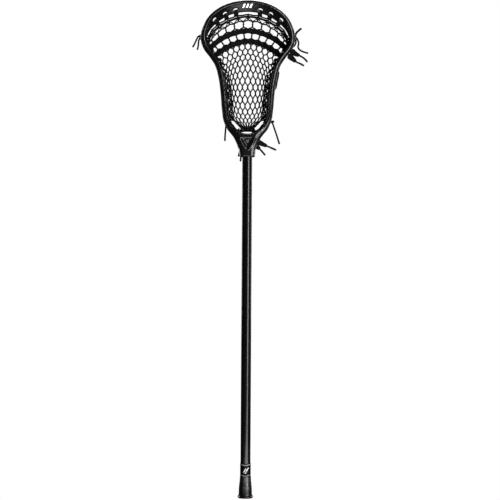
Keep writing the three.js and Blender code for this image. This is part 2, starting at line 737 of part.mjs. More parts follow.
for (const [name, { at, size }] of Object.entries(KNOTS)) {
  add(name, new THREE.SphereGeometry(1, 12, 8).scale(...size).translate(...at), finish.string);
}
for (const [name, route] of Object.entries(STRING_TAILS)) {
  add(name, cord(route, STRING_RADIUS, 10), finish.string);
}
for (const [place, { route, aglet }] of Object.entries(LACE_TAILS)) {
  const agletStart = aglet + 0.01;
  add(`lace_${place}`, ribbon(route, 0, aglet, laceWidth(aglet), LACE.tailThickness, 10), finish.string);
  const agletWidth = 2 * AGLET_RADIUS;
  add(`aglet_${place}`, ribbon(route, agletStart, 1, () => agletWidth, agletWidth, 5), finish.aglet);
}

export default stick;
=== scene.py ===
"""Looks of the lacrosse stick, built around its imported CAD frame.

Dimensions are in millimetres unless a comment says otherwise. +Z runs up the shaft. The ball side faces -Y.
"""

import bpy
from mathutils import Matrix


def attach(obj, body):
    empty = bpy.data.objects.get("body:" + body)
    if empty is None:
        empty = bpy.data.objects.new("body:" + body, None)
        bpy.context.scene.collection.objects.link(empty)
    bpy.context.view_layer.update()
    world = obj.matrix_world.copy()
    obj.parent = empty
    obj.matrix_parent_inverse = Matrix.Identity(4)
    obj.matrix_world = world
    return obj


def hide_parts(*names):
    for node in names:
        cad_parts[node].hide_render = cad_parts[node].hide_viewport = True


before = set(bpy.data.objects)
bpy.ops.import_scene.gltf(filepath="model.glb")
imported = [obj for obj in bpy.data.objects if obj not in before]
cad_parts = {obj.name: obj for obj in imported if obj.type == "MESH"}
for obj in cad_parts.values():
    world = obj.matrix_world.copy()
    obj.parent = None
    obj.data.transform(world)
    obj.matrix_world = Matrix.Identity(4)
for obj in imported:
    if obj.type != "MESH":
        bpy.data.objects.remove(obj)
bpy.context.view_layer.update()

import math

import bmesh
import bpy
import numpy as np
from mathutils import Vector
from mathutils.bvhtree import BVHTree

MM = 0.001
TURN = 2 * math.pi
BACK = np.array([0.0, 1.0, 0.0])

# ---- Dimensions shared with the CAD source
GAP = 0.35  # clearance between touching pieces
SHAFT = {
    "half_width": 10.1, "half_depth": 12.7, "front_flat": 4.6, "side_flat": 6.6, "crown": 0.6, "wall": 1.2,
    "bottom": 5.0, "top": 738.0,
}
CAP_HEIGHT = 44.0
CAP_PLUG_TOP = 30.0
# The cap's outline from its foot up: height, and how much wider it is than the shaft on each side.
CAP_PROFILE = [
    (0, 4.3), (0.9, 5.3), (2, 5.6), (3.4, 5.2), (4.6, 4.2), (6, 3.6), (8.4, 3.4), (18, 3.1), (24, 2.7),
    (34, 1.6), (44, 1.1),
]
DECAL = {"bottom": 45.6, "top": 70.6, "thickness": 0.3}
BOWL = {"half_width": 36.5, "height": 33.0, "centre": 774.5}
BALL_STOP_PAD = {"thickness": 2.6, "half_angle": 0.8}
SCREW = {"z": 729.0, "head_radius": 3.9, "head_height": 2.3, "shank_radius": 2.0, "tip": -7.5, "seat": -15.2}
SIDE_HOLES = np.linspace(767, 941, 10)  # heights of the string holes in a sidewall
SCOOP_HOLES = [(25.6, 14.2), (47.3, 14.0), (68.6, 11.2)]  # distance of each hole from the middle, and inset
STRING_RADIUS = 1.5
LACE = {"width": 11.4, "thickness": 2.2, "tail_width": 8.4}
AGLET_RADIUS = 1.9
HALF_COLUMNS = 5  # the netting is ten diamonds wide
FIRST_ROW, LAST_ROW = -1, 21  # its rows of diamonds, from the scoop to the throat
EDGE_CLEARANCE = 5.9  # between the netting's edge and the back rail
GATHER_DEPTH_SHARE = 0.8  # a gathered edge also moves back by this share

# Right half of the head's outline in front view, from the scoop's tip to under the ball stop.
OUTLINE = [
    (0, 1016), (26.8, 1013.2), (50, 1005.8), (69.9, 993.8), (83.2, 980.3), (92.2, 964.2), (96.8, 947.5),
    (95.9, 933), (89.6, 918), (76.6, 901), (66.2, 883.5), (59.2, 857), (55.2, 828), (52.7, 797), (49.2, 772),
    (43.8, 759.4), (35.4, 747.3), (20.6, 738.6), (0, 736),
]
# Side view of the head: its front and back edges over Z, and how far the back edge lies inside the outline.
FRONT_EDGE = [(738, -17), (765, -13), (800, -6.5), (850, -1), (900, 2), (940, 1), (975, -4), (1016, -15.5)]
BACK_EDGE = [(738, 19), (765, 25), (800, 34), (850, 41), (900, 44), (940, 41), (975, 30), (1016, 9)]
BACK_INSET = [
    (738, 7.5), (755, 10.5), (785, 14), (850, 14), (900, 11.5), (935, 9.5), (965, 13), (990, 18), (1016, 20),
]
# Rows of the netting: row, height and depth of its middle, spacing of diamonds, height of its ends, gather.
POCKET_ROWS = [
    (-1, 988.4, 13, 21.4, 946.5, 0), (1, 985, 30, 20.1, 935, 0), (3, 962.7, 44, 17.7, 919, 0),
    (5, 942, 52, 13.6, 902.5, 0), (7, 920.4, 58, 10.9, 886.5, 0), (9, 899.9, 64, 11.1, 872, 0),
    (13, 848.5, 75, 11.3, 841, 0), (17, 796.2, 74, 10.5, 803, 0), (19, 777.1, 60, 8.4, 774, 0),
    (21, 759, 33, 2.6, 747, 12),
]
# Centre and half sizes of each knot outside a sidewall.
KNOTS = {
    "knot_upper_left": ((-97.7, 36, 947.6), (3.7, 3.6, 5.5)),
    "knot_upper_right": ((97, 36, 949.5), (3, 3.2, 3.8)),
    "knot_lower_right": ((49.8, 21, 771.4), (5.8, 2.6, 2.6)),
}
# String ends: the way of each out of its rail hole and through its knot, and its free route from there.
UPPER_LEFT_EXIT = [(-86.5, 36, 941), (-91.8, 36, 941.2), (-95.2, 36, 943.6), (-98.2, 36, 946.6)]
UPPER_RIGHT_EXIT = [(86.5, 36, 941), (91.8, 36, 941.6), (94.5, 36, 945), (97, 36, 949)]
STRING_TAILS = {
    "tail_upper_left_long": (UPPER_LEFT_EXIT, [
        (-102.3, 36.6, 949.1), (-105.8, 36.8, 943.7), (-109, 37, 936.8), (-111.9, 37, 930.9),
        (-114.5, 37, 926.6)]),
    "tail_upper_left_short": (UPPER_LEFT_EXIT, [
        (-101.6, 38.4, 941.9), (-102.4, 38.8, 937.2), (-102.8, 39, 931.7), (-103.6, 39, 926.5),
        (-104.8, 39, 921.4)]),
    "tail_upper_right_stub": (UPPER_RIGHT_EXIT, [
        (99, 35, 954.6), (101, 34.8, 958), (104.3, 34.6, 961.2), (107.5, 34.4, 963.9), (110.6, 34.2, 966.5)]),
    "tail_upper_right_long": (UPPER_RIGHT_EXIT, [
        (100.9, 38.2, 946.7), (103.8, 39, 941.8), (105.3, 39.4, 935.7), (104, 39.6, 929),
        (106.5, 39.4, 923.5), (114, 38.8, 918.9), (125.2, 38.2, 915.4)]),
    "tail_upper_right_loop": (UPPER_RIGHT_EXIT, [
        (98.5, 32.6, 944.9), (99.3, 32.4, 939.8), (98.7, 32.4, 934.5), (95.9, 32.6, 929.9),
        (91.4, 33, 926.3)]),
    "tail_lower_left": ([(-34, 21.3, 767), (-39, 21.2, 767.2)], [
        (-43.4, 20.6, 767.3), (-44.4, 21, 760.7), (-45.1, 21.2, 752.6), (-45.9, 21.2, 742.5),
        (-46.3, 21, 731.4)]),
    "tail_lower_right": ([(34, 21.3, 767), (41, 21.3, 767.3), (45, 21.1, 770), (49.8, 21, 771)], [
        (52.2, 21.2, 767.2), (54.6, 21.4, 760.2), (58.7, 21.4, 748.6), (62.7, 21.2, 736.4),
        (66.2, 21, 725.3)]),
    "tail_throat_left_long": ([(-14, 28.8, 755.5), (-15.5, 27.5, 747), (-11.5, 24, 735)], [
        (-6.1, 21, 724.3), (-9.1, 21.6, 717.2), (-11.3, 21.8, 708.1), (-13, 21.8, 698.5),
        (-14.1, 21.6, 689.3)]),
    "tail_throat_left_short": ([(-17.5, 27.8, 757.5), (-19, 26.5, 749), (-14.5, 23.5, 739)], [
        (-9.7, 21, 731.4), (-12.3, 21.4, 724.3), (-14.4, 21.6, 716.2), (-16.2, 21.6, 708.1),
        (-18, 21.4, 699.6)]),
}
# Flat lace ends: the same, and the share of the free route at which the aglet takes over.
LACE_TAILS = {
    "upper_right_inner": ([(76, 38.8, 921.2), (82, 38.6, 921.8)], [
        (89, 37.6, 922.2), (92.9, 38.6, 918.1), (99.8, 39.4, 913.7), (108.3, 39.8, 910.3),
        (116.7, 39.6, 904.8), (123.9, 39, 897.4)], 0.53),
    "upper_right_outer": ([(73, 45.6, 915.2), (79, 44.6, 914.6)], [
        (84.4, 40.4, 912.6), (88.2, 41.4, 908.5), (93.7, 42, 903.5), (100.9, 42.4, 897.9),
        (109.2, 42.2, 894.1), (116.7, 41.6, 889.8)], 0.56),
    "throat_upper": ([(15, 28.5, 757), (14, 27, 748), (12, 24.5, 739.5)], [
        (13.6, 22.6, 733.5), (20.3, 23.4, 730.5), (27.3, 24, 727.3), (35.5, 24.4, 723.7), (43.6, 24.4, 720.3),
        (59.8, 24, 713.3)], 0.62),
    "throat_lower": ([(11.5, 30, 755), (9.5, 27.5, 745), (7.2, 24.5, 735)], [
        (8.5, 22.6, 728), (14.2, 23.4, 724.4), (20.3, 24, 719.8), (26.7, 24.4, 714.3), (31.8, 24.2, 708.7),
        (37.1, 23.8, 702.4)], 0.6),
}

# ---- Curves
SPLINE_STEPS = 40  # points from one given point of a spline to the next


def cubic(t, start, start_slope, end, end_slope):
    """A cubic from one value to another, with its slope at each end."""
    return (
        (2 * t**3 - 3 * t**2 + 1) * start + (t**3 - 2 * t**2 + t) * start_slope
        + (3 * t**2 - 2 * t**3) * end + (t**3 - t**2) * end_slope
    )


def profile(rows, column=1):
    """A cubic through rows of numbers, from their first column to the chosen one, flat beyond the ends."""
    x = np.array([row[0] for row in rows], float)
    y = np.array([row[column] for row in rows], float)
    before = np.maximum(np.arange(len(x)) - 1, 0)
    after = np.minimum(np.arange(len(x)) + 1, len(x) - 1)
    slope = (y[after] - y[before]) / (x[after] - x[before])

    def value(at):
        at = min(max(at, x[0]), x[-1])
        i = min(int(np.searchsorted(x, at, side="right")) - 1, len(x) - 2)
        h = x[i + 1] - x[i]
        return float(cubic((at - x[i]) / h, y[i], slope[i] * h, y[i + 1], slope[i + 1] * h))

    return value


def spline(points, count, closed=False):
    """Evenly spaced points on a centripetal Catmull-Rom curve through the given points."""
    p = np.array(points, float)
    if closed:
        padded = np.vstack([p[-1:], p, p[:2]])
    else:
        padded = np.vstack([2 * p[0] - p[1], p, 2 * p[-1] - p[-2]])
    t = np.linspace(0, 1, SPLINE_STEPS, endpoint=False)[:, None]
    dense = []
    for i in range(len(p) if closed else len(p) - 1):
        a, b, c, d = padded[i:i + 4]
        d0, d1, d2 = (max(np.linalg.norm(v), 1e-9) ** 0.5 for v in (b - a, c - b, d - c))
        start_slope = ((b - a) / d0 - (c - a) / (d0 + d1) + (c - b) / d1) * d1
        end_slope = ((c - b) / d1 - (d - b) / (d1 + d2) + (d - c) / d2) * d1
        dense.append(cubic(t, b, start_slope, c, end_slope))
    dense = np.vstack([*dense, p[:1] if closed else p[-1:]])
    along = lengths(dense)
    at = np.linspace(0, along[-1], count)
    return np.stack([np.interp(at, along, dense[:, k]) for k in range(3)], axis=1)


def lengths(line):
    """How far along a line each point is."""
    return np.concatenate([[0], np.cumsum(np.linalg.norm(np.diff(line, axis=0), axis=1))])


def unit(v):
    v = np.asarray(v, float)
    return v / np.maximum(np.linalg.norm(v, axis=-1, keepdims=True), 1e-12)


def smoothstep(x, low, high):
    t = np.clip((np.asarray(x, float) - low) / (high - low), 0, 1)
    return t * t * (3 - 2 * t)


def tangents(line):
    return unit(np.gradient(line, axis=0))


def mirrored(middle, right):
    """A symmetrical row of points, from its middle and its right half."""
    return [(-x, y, z) for x, y, z in right[::-1]] + [middle] + right


def angles(count):
    return np.arange(count) * TURN / count


def ring(centre, a, b, count=20):
    """An ellipse round a centre, with a and b as its half axes."""
    angle = angles(count)[:, None]
    return centre + np.cos(angle) * np.asarray(a) + np.sin(angle) * np.asarray(b)


def carried_across(tangent):
    """A direction across a line, carried along it without a twist."""
    across = np.zeros_like(tangent)
    first = np.cross(tangent[0], BACK)
    if np.linalg.norm(first) < 0.2:
        first = np.cross(tangent[0], (1.0, 0.0, 0.0))
    across[0] = unit(first)
    for i in range(1, len(tangent)):
        across[i] = unit(across[i - 1] - tangent[i] * (across[i - 1] @ tangent[i]))
    return across


# ---- The head's outline and the netting's surface, as in the CAD
OUTLINE_COUNT = 4001
HALF_COUNT = OUTLINE_COUNT // 2 + 1
EDGE_DEPTH_POWER, EDGE_HEIGHT_POWER = 2.4, 1.75  # how late a row of the netting turns towards its two ends

back_edge, back_inset, front_edge = profile(BACK_EDGE), profile(BACK_INSET), profile(FRONT_EDGE)
outline_line = spline(
    [(x, 0, z) for x, z in OUTLINE] + [(-x, 0, z) for x, z in OUTLINE[-2:0:-1]], OUTLINE_COUNT, closed=True
)
RIGHT_SIDE = outline_line[:HALF_COUNT]
RIGHT_TANGENT = tangents(outline_line)[:HALF_COUNT]
RIGHT_OUTWARD = np.cross(RIGHT_TANGENT, BACK)


def outline_at(z, side=1):
    """The outline's point at height z on one side, and the unit normal that points outwards."""
    i = int(round(float(np.interp(-z, -RIGHT_SIDE[:, 2], np.arange(HALF_COUNT)))))
    return RIGHT_SIDE[i] * (side, 1, 1), RIGHT_OUTWARD[i] * (side, 1, 1)


def beside_rail(z, inset, side=1, before=4.0):
    """A point that is `inset` further in than the back rail's edge, and `before` in front of it."""
    point, outward = outline_at(z, side)
    place = point - outward * (back_inset(point[2]) + inset)
    place[1] = back_edge(point[2]) - before
    return place


row_height, row_depth, row_spacing, row_end, row_gather = (profile(POCKET_ROWS, k) for k in range(1, 6))


def pocket_point(column, row):
    end = beside_rail(row_end(row), EDGE_CLEARANCE) + row_gather(row) * np.array([-1, GATHER_DEPTH_SHARE, 0])
    t = column / HALF_COLUMNS
    slope = row_spacing(row) * HALF_COLUMNS / end[0]
    near, far = abs(t) ** EDGE_DEPTH_POWER, abs(t) ** EDGE_HEIGHT_POWER
    return np.array([
        end[0] * (slope * t + (1 - slope) * t**3),
        row_depth(row) * (1 - near) + end[1] * near,
        row_height(row) * (1 - far) + end[2] * far,
    ])


def pocket_frame(column, row):
    """Unit vectors of the netting at a point: across it, down it, and its normal towards the front."""
    step = 0.05
    across = pocket_point(column + step, row) - pocket_point(column - step, row)
    down = pocket_point(column, min(row + step, LAST_ROW)) - pocket_point(column, max(row - step, FIRST_ROW))
    normal = unit(np.cross(across, down))
    if normal[1] > 0:
        normal = -normal
    return unit(across), unit(down), normal


# ---- Mesh building
class Skin:
    """Closed skins that are collected into one mesh.

    `marks` holds, for a vertex of a cord, the cosine and sine of its place round it, and its metres along it.
    """

    def __init__(self):
        self.vertices, self.faces, self.marks, self.count = [], [], [], 0

    def loft(self, rings, closed=False, marks=None):
        """Skin over rings of points that have the same count. An open skin gets a fan on each end."""
        rings = np.asarray(rings, float)
        n, count = rings.shape[:2]
        vertices = rings.reshape(-1, 3)
        faces = []
        for i in range(n if closed else n - 1):
            a, b = i * count, ((i + 1) % n) * count
            faces += [(a + k, a + (k + 1) % count, b + (k + 1) % count, b + k) for k in range(count)]
        if not closed:
            last = (n - 1) * count
            faces += [(len(vertices), (k + 1) % count, k) for k in range(count)]
            faces += [(len(vertices) + 1, last + k, last + (k + 1) % count) for k in range(count)]
            vertices = np.vstack([vertices, rings[0].mean(0), rings[-1].mean(0)])
            if marks is not None:
                marks = np.vstack([marks, marks[0] * (0, 0, 1), marks[-1] * (0, 0, 1)])
        self.vertices.append(vertices)
        self.faces += [tuple(i + self.count for i in face) for face in faces]
        self.marks.append(np.zeros_like(vertices) if marks is None else marks)
        self.count += len(vertices)
        return self

    def tube(self, line, radius, sides=8, across=None, closed=False):
        """A cord along a line. radius is one number, or one or (across, through) for each point."""
        line = np.asarray(line, float)
        tangent = tangents(line)
        if closed:
            tangent = unit(np.roll(line, -1, axis=0) - np.roll(line, 1, axis=0))
        if across is None:
            across = carried_across(tangent)
        else:
            across = unit(across - tangent * (across * tangent).sum(1, keepdims=True))
        through = np.cross(tangent, across)
        size = np.asarray(radius, float)
        if size.ndim < 2:
            size = np.repeat(np.broadcast_to(size, (len(line),))[:, None], 2, axis=1)
        cos, sin = np.cos(angles(sides)), np.sin(angles(sides))
        rings = (line[:, None]
                 + across[:, None] * (size[:, :1] * cos)[:, :, None]
                 + through[:, None] * (size[:, 1:] * sin)[:, :, None])
        marks = [np.tile(cos, len(line)), np.tile(sin, len(line)), np.repeat(lengths(line) * MM, sides)]
        return self.loft(rings, closed, np.stack(marks, axis=1))

    def piece(self, name, material, slot, replaces=None):
        """The finished object, from millimetres to metres."""
        mesh = bpy.data.meshes.new(name)
        mesh.from_pydata((np.vstack(self.vertices) * MM).tolist(), [], self.faces)
        marks = mesh.attributes.new("cord", "FLOAT_VECTOR", "POINT")
        marks.data.foreach_set("vector", np.vstack(self.marks).ravel())
        return finished(name, mesh, material, replaces)

    def braided(self, node):
        return self.piece(f"{node}_braid", STRING, "string_nylon", node)

    def woven(self, node):
        return self.piece(f"{node}_weave", LACE_WEAVE, "lace_nylon", node)


def in_scene(name, data):
    made = bpy.data.objects.new(name, data)
    bpy.context.scene.collection.objects.link(made)
    return made


def finished(name, mesh, material, replaces=None):
    """A smooth-shaded piece that rides on the stick."""
    mesh.materials.clear()
    mesh.materials.append(material)
    mesh.polygons.foreach_set("use_smooth", [True] * len(mesh.polygons))
    mesh.validate()
    mesh.update()
    piece = in_scene(name, mesh)
    turn_outward(mesh)
    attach(piece, "root")
    if replaces:
        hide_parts(replaces)
    return piece


def turn_outward(mesh):
    """Turns a mesh's faces so that they point out of it."""
    work = bmesh.new()
    work.from_mesh(mesh)
    bmesh.ops.recalc_face_normals(work, faces=work.faces)
    work.to_mesh(mesh)
    work.free()


def with_modifiers(mesh, *modifiers):
    """The mesh after modifiers, each given as (type, settings)."""
    holder = in_scene("holder", mesh)
    for kind, settings in modifiers:
        modifier = holder.modifiers.new(kind.lower(), kind)
        for key, value in settings.items():
            setattr(modifier, key, value)
    shape = bpy.data.meshes.new_from_object(holder.evaluated_get(bpy.context.evaluated_depsgraph_get()))
    bpy.data.objects.remove(holder)
    return shape


# ---- Materials
class Shader:
    """A Principled material that is built node by node. Its lengths are in metres."""

    def __init__(self, name, **sockets):
        self.material = bpy.data.materials.new(name)
        self.material.use_nodes = True
        self.tree = self.material.node_tree
        self.surface = self.tree.nodes["Principled BSDF"]
        for key, value in sockets.items():
            self.surface.inputs[key.replace("_", " ")].default_value = value
        self.place = self.node("ShaderNodeTexCoord").outputs["Object"]

    def node(self, kind, inputs=(), **settings):
        made = self.tree.nodes.new(kind)
        for key, value in settings.items():
            setattr(made, key, value)
        for key, value in dict(inputs).items():
            if isinstance(value, bpy.types.NodeSocket):
                self.tree.links.new(value, made.inputs[key])
            else:
                made.inputs[key].default_value = value
        return made

    def math(self, operation, a, b=0.0):
        return self.node("ShaderNodeMath", {0: a, 1: b}, operation=operation).outputs[0]

    def times(self, a, b):
        return self.math("MULTIPLY", a, b)

    def minus(self, a, b):
        return self.math("SUBTRACT", a, b)

    def noise(self, scale, detail=3.0, stretch=(1, 1, 1)):
        vector = self.node("ShaderNodeMapping", {"Vector": self.place, "Scale": stretch}).outputs[0]
        settings = {"Vector": vector, "Scale": scale, "Detail": detail, "Roughness": 0.55}
        return self.node("ShaderNodeTexNoise", settings).outputs["Fac"]

    def remap(self, value, low, high, to_low=0, to_high=1):
        numbers = {"Value": value, "From Min": low, "From Max": high, "To Min": to_low, "To Max": to_high}
        return self.node("ShaderNodeMapRange", numbers).outputs[0]

    def band(self, value, half_width, fade):
        """1 where a value is within half_width of 0, and 0 beyond a thin fade."""
        return self.remap(self.math("ABSOLUTE", value), half_width, half_width + fade, 1, 0)

    def blend(self, share, a, b):
        """From colour a, where the share is 0, to colour b, where it is 1."""
        a, b = (v if isinstance(v, bpy.types.NodeSocket) else (*v, 1) for v in (a, b))
        return self.node("ShaderNodeMix", {0: share, 6: a, 7: b}, data_type="RGBA").outputs[2]

    def bump(self, height, distance, strength, normal=None):
        numbers = {"Height": height, "Distance": distance, "Strength": strength}
        if normal is not None:
            numbers["Normal"] = normal
        return self.node("ShaderNodeBump", numbers).outputs[0]

    def edges(self, low=0.505, high=0.56):
        """1 on a piece's sharp outer edges and 0 elsewhere."""
        return self.remap(self.node("ShaderNodeNewGeometry").outputs["Pointiness"], low, high)

    def done(self, colour, rough, normal=None):
        for key, value in (("Base Color", colour), ("Roughness", rough), ("Normal", normal)):
            if value is not None:
                self.tree.links.new(value, self.surface.inputs[key])
        return self.material


def nylon():
    """Cloudy and finely grained, with small scuffs and paler worn edges."""
    s = Shader("moulded_nylon", IOR=1.5, Specular_IOR_Level=0.42, Coat_Weight=0.05, Coat_Roughness=0.16)
    cloud = s.noise(28, 4)
    grain = s.noise(2600, 2)
    scuffs = s.remap(s.noise(420, 3, (1, 1, 0.12)), 0.66, 0.74)
    wear = s.times(s.edges(0.54, 0.62), s.remap(s.noise(160, 4), 0.42, 0.62))
    colour = s.blend(cloud, (0.003, 0.003, 0.0032), (0.0065, 0.0065, 0.0068))
    colour = s.blend(s.times(scuffs, 0.3), colour, (0.02, 0.02, 0.021))
    colour = s.blend(s.times(wear, 0.55), colour, (0.03, 0.03, 0.031))
    rough = s.math("ADD", s.remap(cloud, 0.3, 0.7, 0.21, 0.28), s.times(wear, 0.12))
    relief = s.bump(s.noise(140, 2), 0.00009, 0.2, s.bump(grain, 0.00002, 0.3))
    return s.done(colour, rough, relief)


def alloy():
    """Drawn along its length, with a few fine scratches."""
    s = Shader("anodised_alloy", IOR=1.5, Specular_IOR_Level=0.26, Coat_Weight=0.04, Coat_Roughness=0.12)
    drawn = s.noise(2200, 3, (1, 1, 0.008))
    cloud = s.noise(14, 3, (1, 1, 0.3))
    scratches = s.remap(s.noise(300, 2, (1, 1, 0.3)), 0.72, 0.76)
    colour = s.blend(cloud, (0.0015, 0.0015, 0.0018), (0.004, 0.004, 0.0044))
    colour = s.blend(s.times(scratches, 0.25), colour, (0.03, 0.03, 0.031))
    rough = s.remap(drawn, 0.3, 0.7, 0.15, 0.22)
    return s.done(colour, rough, s.bump(drawn, 0.00001, 0.15))


def rubber():
    s = Shader("butt_rubber", IOR=1.5, Specular_IOR_Level=0.55)
    cloud = s.noise(60, 4)
    grain = s.noise(3000, 2)
    wear = s.times(s.edges(), s.remap(s.noise(300, 3), 0.4, 0.6))
    colour = s.blend(cloud, (0.0035, 0.0035, 0.0037), (0.0075, 0.0075, 0.0078))
    colour = s.blend(s.times(wear, 0.5), colour, (0.03, 0.03, 0.03))
    rough = s.remap(cloud, 0.3, 0.7, 0.3, 0.38)
    return s.done(colour, rough, s.bump(grain, 0.00006, 0.5))


# Printed on the film, in metres: two grey lines that dip in the middle, and two slanted bars between them.
LINE_HEIGHTS, LINE_HALF_WIDTH, LINE_FADE, LINE_SHADE = (0.0682, 0.0466), 0.00055, 0.00025, 0.45
DIP, DIP_WAVES = 0.0009, 300
BAR_HEIGHT, BAR_SLANT, BAR_HALF_WIDTH, BAR_FADE = 0.0568, 0.62, 0.0009, 0.0003
BARS = ((-0.0016, 0.004), (0.0028, 0.006))  # each bar's place across the film, and half its height


def film():
    s = Shader("printed_film", IOR=1.45, Specular_IOR_Level=0.1)
    x, _, z = s.node("ShaderNodeSeparateXYZ", {0: s.place}).outputs
    dip = s.times(s.math("COSINE", s.times(x, DIP_WAVES)), DIP)
    offs = [s.math("ADD", s.minus(z, height), dip) for height in LINE_HEIGHTS]
    lines = [s.band(off, LINE_HALF_WIDTH, LINE_FADE) for off in offs]
    pale = s.times(s.math("MAXIMUM", *lines), LINE_SHADE)
    rise = s.minus(z, BAR_HEIGHT)
    for place, reach in BARS:
        off = s.minus(s.minus(x, place), s.times(rise, BAR_SLANT))
        bar = s.times(s.band(off, BAR_HALF_WIDTH, BAR_FADE), s.band(rise, reach, BAR_FADE))
        pale = s.math("MAXIMUM", pale, bar)
    speck = s.remap(s.noise(1800, 3), 0.35, 0.6, 0.55, 1)
    colour = s.blend(s.times(pale, speck), (0.002, 0.002, 0.0022), (0.6, 0.6, 0.6))
    rough = s.remap(s.noise(500), 0.3, 0.7, 0.26, 0.36)
    return s.done(colour, rough, s.bump(pale, 0.00004, 0.4))


def print_ink():
    s = Shader("printed_mark", IOR=1.45)
    speck = s.remap(s.noise(2500, 3), 0.3, 0.6)
    colour = s.blend(speck, (0.7, 0.7, 0.7), (0.95, 0.95, 0.95))
    return s.done(colour, s.remap(s.noise(600), 0.3, 0.7, 0.4, 0.55))


def steel():
    s = Shader("screw_steel", Metallic=1.0)
    turned = s.noise(2500, 3, (1, 0.05, 1))
    colour = s.blend(turned, (0.05, 0.05, 0.052), (0.12, 0.12, 0.125))
    rough = s.remap(turned, 0.3, 0.7, 0.24, 0.4)
    return s.done(colour, rough, s.bump(turned, 0.00003, 0.3))


def foam():
    s = Shader("stop_foam", IOR=1.4, Specular_IOR_Level=0.25)
    cells = s.node("ShaderNodeTexVoronoi", {"Vector": s.place, "Scale": 1400.0}).outputs["Distance"]
    colour = s.blend(s.noise(90, 4), (0.008, 0.008, 0.008), (0.018, 0.018, 0.018))
    rough = s.remap(cells, 0, 0.6, 0.98, 0.8)
    return s.done(colour, rough, s.bump(cells, 0.00025, 0.7))


def braid(name, light, strands, pitch, relief, rough=(0.5, 0.7)):
    """Braided cord: crossing plaits that run both ways round the cord, from the marks in its mesh. Its colour
    is painted darker in the grooves between the plaits, as painted shade.
    """
    s = Shader(name, IOR=1.45, Specular_IOR_Level=0.12)
    marks = s.node("ShaderNodeAttribute", attribute_name="cord").outputs["Vector"]
    cos, sin, along = s.node("ShaderNodeSeparateXYZ", {0: marks}).outputs
    turn = s.times(s.math("ARCTAN2", sin, cos), strands)
    run = s.times(along, TURN / pitch)
    plaits = [s.math("SINE", s.math(way, turn, run)) for way in ("ADD", "SUBTRACT")]
    plait = s.remap(s.math("MAXIMUM", *plaits), -0.6, 1)
    height = s.math("ADD", plait, s.times(s.noise(5200, 2), 0.35))
    # Painted shade: near black in the grooves between plaits and paler on their crests, times a random
    # variation in tone.
    groove_shade_and_tone = s.times(plait, s.remap(s.noise(180, 3), 0.3, 0.7, 0.55, 1))
    colour = s.blend(groove_shade_and_tone, (0.001, 0.001, 0.001), light)
    return s.done(colour, s.remap(plait, 0, 1, rough[1], rough[0]), s.bump(height, relief, 0.8))


def aglet_plastic():
    s = Shader("aglet_plastic", IOR=1.5, Specular_IOR_Level=0.3, Coat_Weight=0.1, Coat_Roughness=0.1)
    wrap = s.noise(900, 3, (1, 1, 0.2))
    colour = s.blend(wrap, (0.002, 0.002, 0.002), (0.006, 0.006, 0.006))
    rough = s.remap(wrap, 0.3, 0.7, 0.16, 0.3)
    return s.done(colour, rough, s.bump(wrap, 0.00008, 0.3))


NYLON, ALLOY, RUBBER, FILM = nylon(), alloy(), rubber(), film()
INK, STEEL, FOAM, AGLET = print_ink(), steel(), foam(), aglet_plastic()
MESH = braid("mesh_cord", (0.005, 0.005, 0.0052), strands=3, pitch=0.0021, relief=0.00018)
STRING = braid("braided_string", (0.005, 0.005, 0.0052), strands=4, pitch=0.0018, relief=0.00016)
LACE_WEAVE = braid(
    "woven_lace", (0.0045, 0.0045, 0.0047), strands=9, pitch=0.0016, relief=0.00022, rough=(0.6, 0.8)
)


# ---- Camera, in metres
CAMERA_DISTANCE, CAMERA_HEIGHT, CAMERA_SIDE = 3.0, 0.5068, 0.0068
CAMERA_ROLL = math.radians(-0.33)
FIELD = 1.0239  # how much of the object's plane the frame takes in

camera_data = bpy.data.cameras.new("camera")
camera_data.lens = camera_data.sensor_width * CAMERA_DISTANCE / FIELD
camera = in_scene("camera", camera_data)
camera.location = (CAMERA_SIDE, -CAMERA_DISTANCE, CAMERA_HEIGHT)
camera.rotation_euler = (TURN / 4, CAMERA_ROLL, 0)
bpy.context.scene.camera = camera


# ---- Free cords
TAIL_SWELL = 1.12  # loose cord ends are fluffed out by this factor
STUB_SWELL = {"tail_upper_right_stub": 1.4}  # the freshly cut stub's more than the others
MELTED_TIP = (1.06, 1.14, 1.1172, 0.62)  # a string end's last points bulge into a bead
TAIL_THICKNESS = 1.9  # the woven tape is a little thinner than its CAD solid
GATHERED_ACROSS, GATHERED_THROUGH = 1.35, 1.1  # half sizes of a lace that is gathered in a hole or an aglet
AGLET_MOUTH, AGLET_TIP = (0.93, 1.04, 1.02), (0.95, 0.85, 0.6)  # its first and last points, beside its radius


def string_tail(name, inner, route):
    """A braided string end with a melted tip."""
    line = spline([*inner, *route], 70)
    radius = STRING_RADIUS * STUB_SWELL.get(name, TAIL_SWELL)
    size = np.full(len(line), radius)
    size[-len(MELTED_TIP):] = radius * np.array(MELTED_TIP)
    tail = Skin().tube(line, size, sides=12).braided(name)


def face_on(line):
    """Directions across a line for a flat lace that lies face on to the front."""
    return unit(np.cross(tangents(line), BACK))


def aglet(place, line):
    """The plastic sheath on a lace's tip, with one crimp."""
    size = np.ones(len(line))
    size[:len(AGLET_MOUTH)] = AGLET_MOUTH
    size[-len(AGLET_TIP):] = AGLET_TIP
    crimp = len(line) // 4
    size[crimp:crimp + 2] = 0.9
    skin = Skin().tube(line, AGLET_RADIUS * size, sides=16)
    return skin.piece(f"aglet_{place}_sheath", AGLET, "aglet_plastic", f"aglet_{place}")


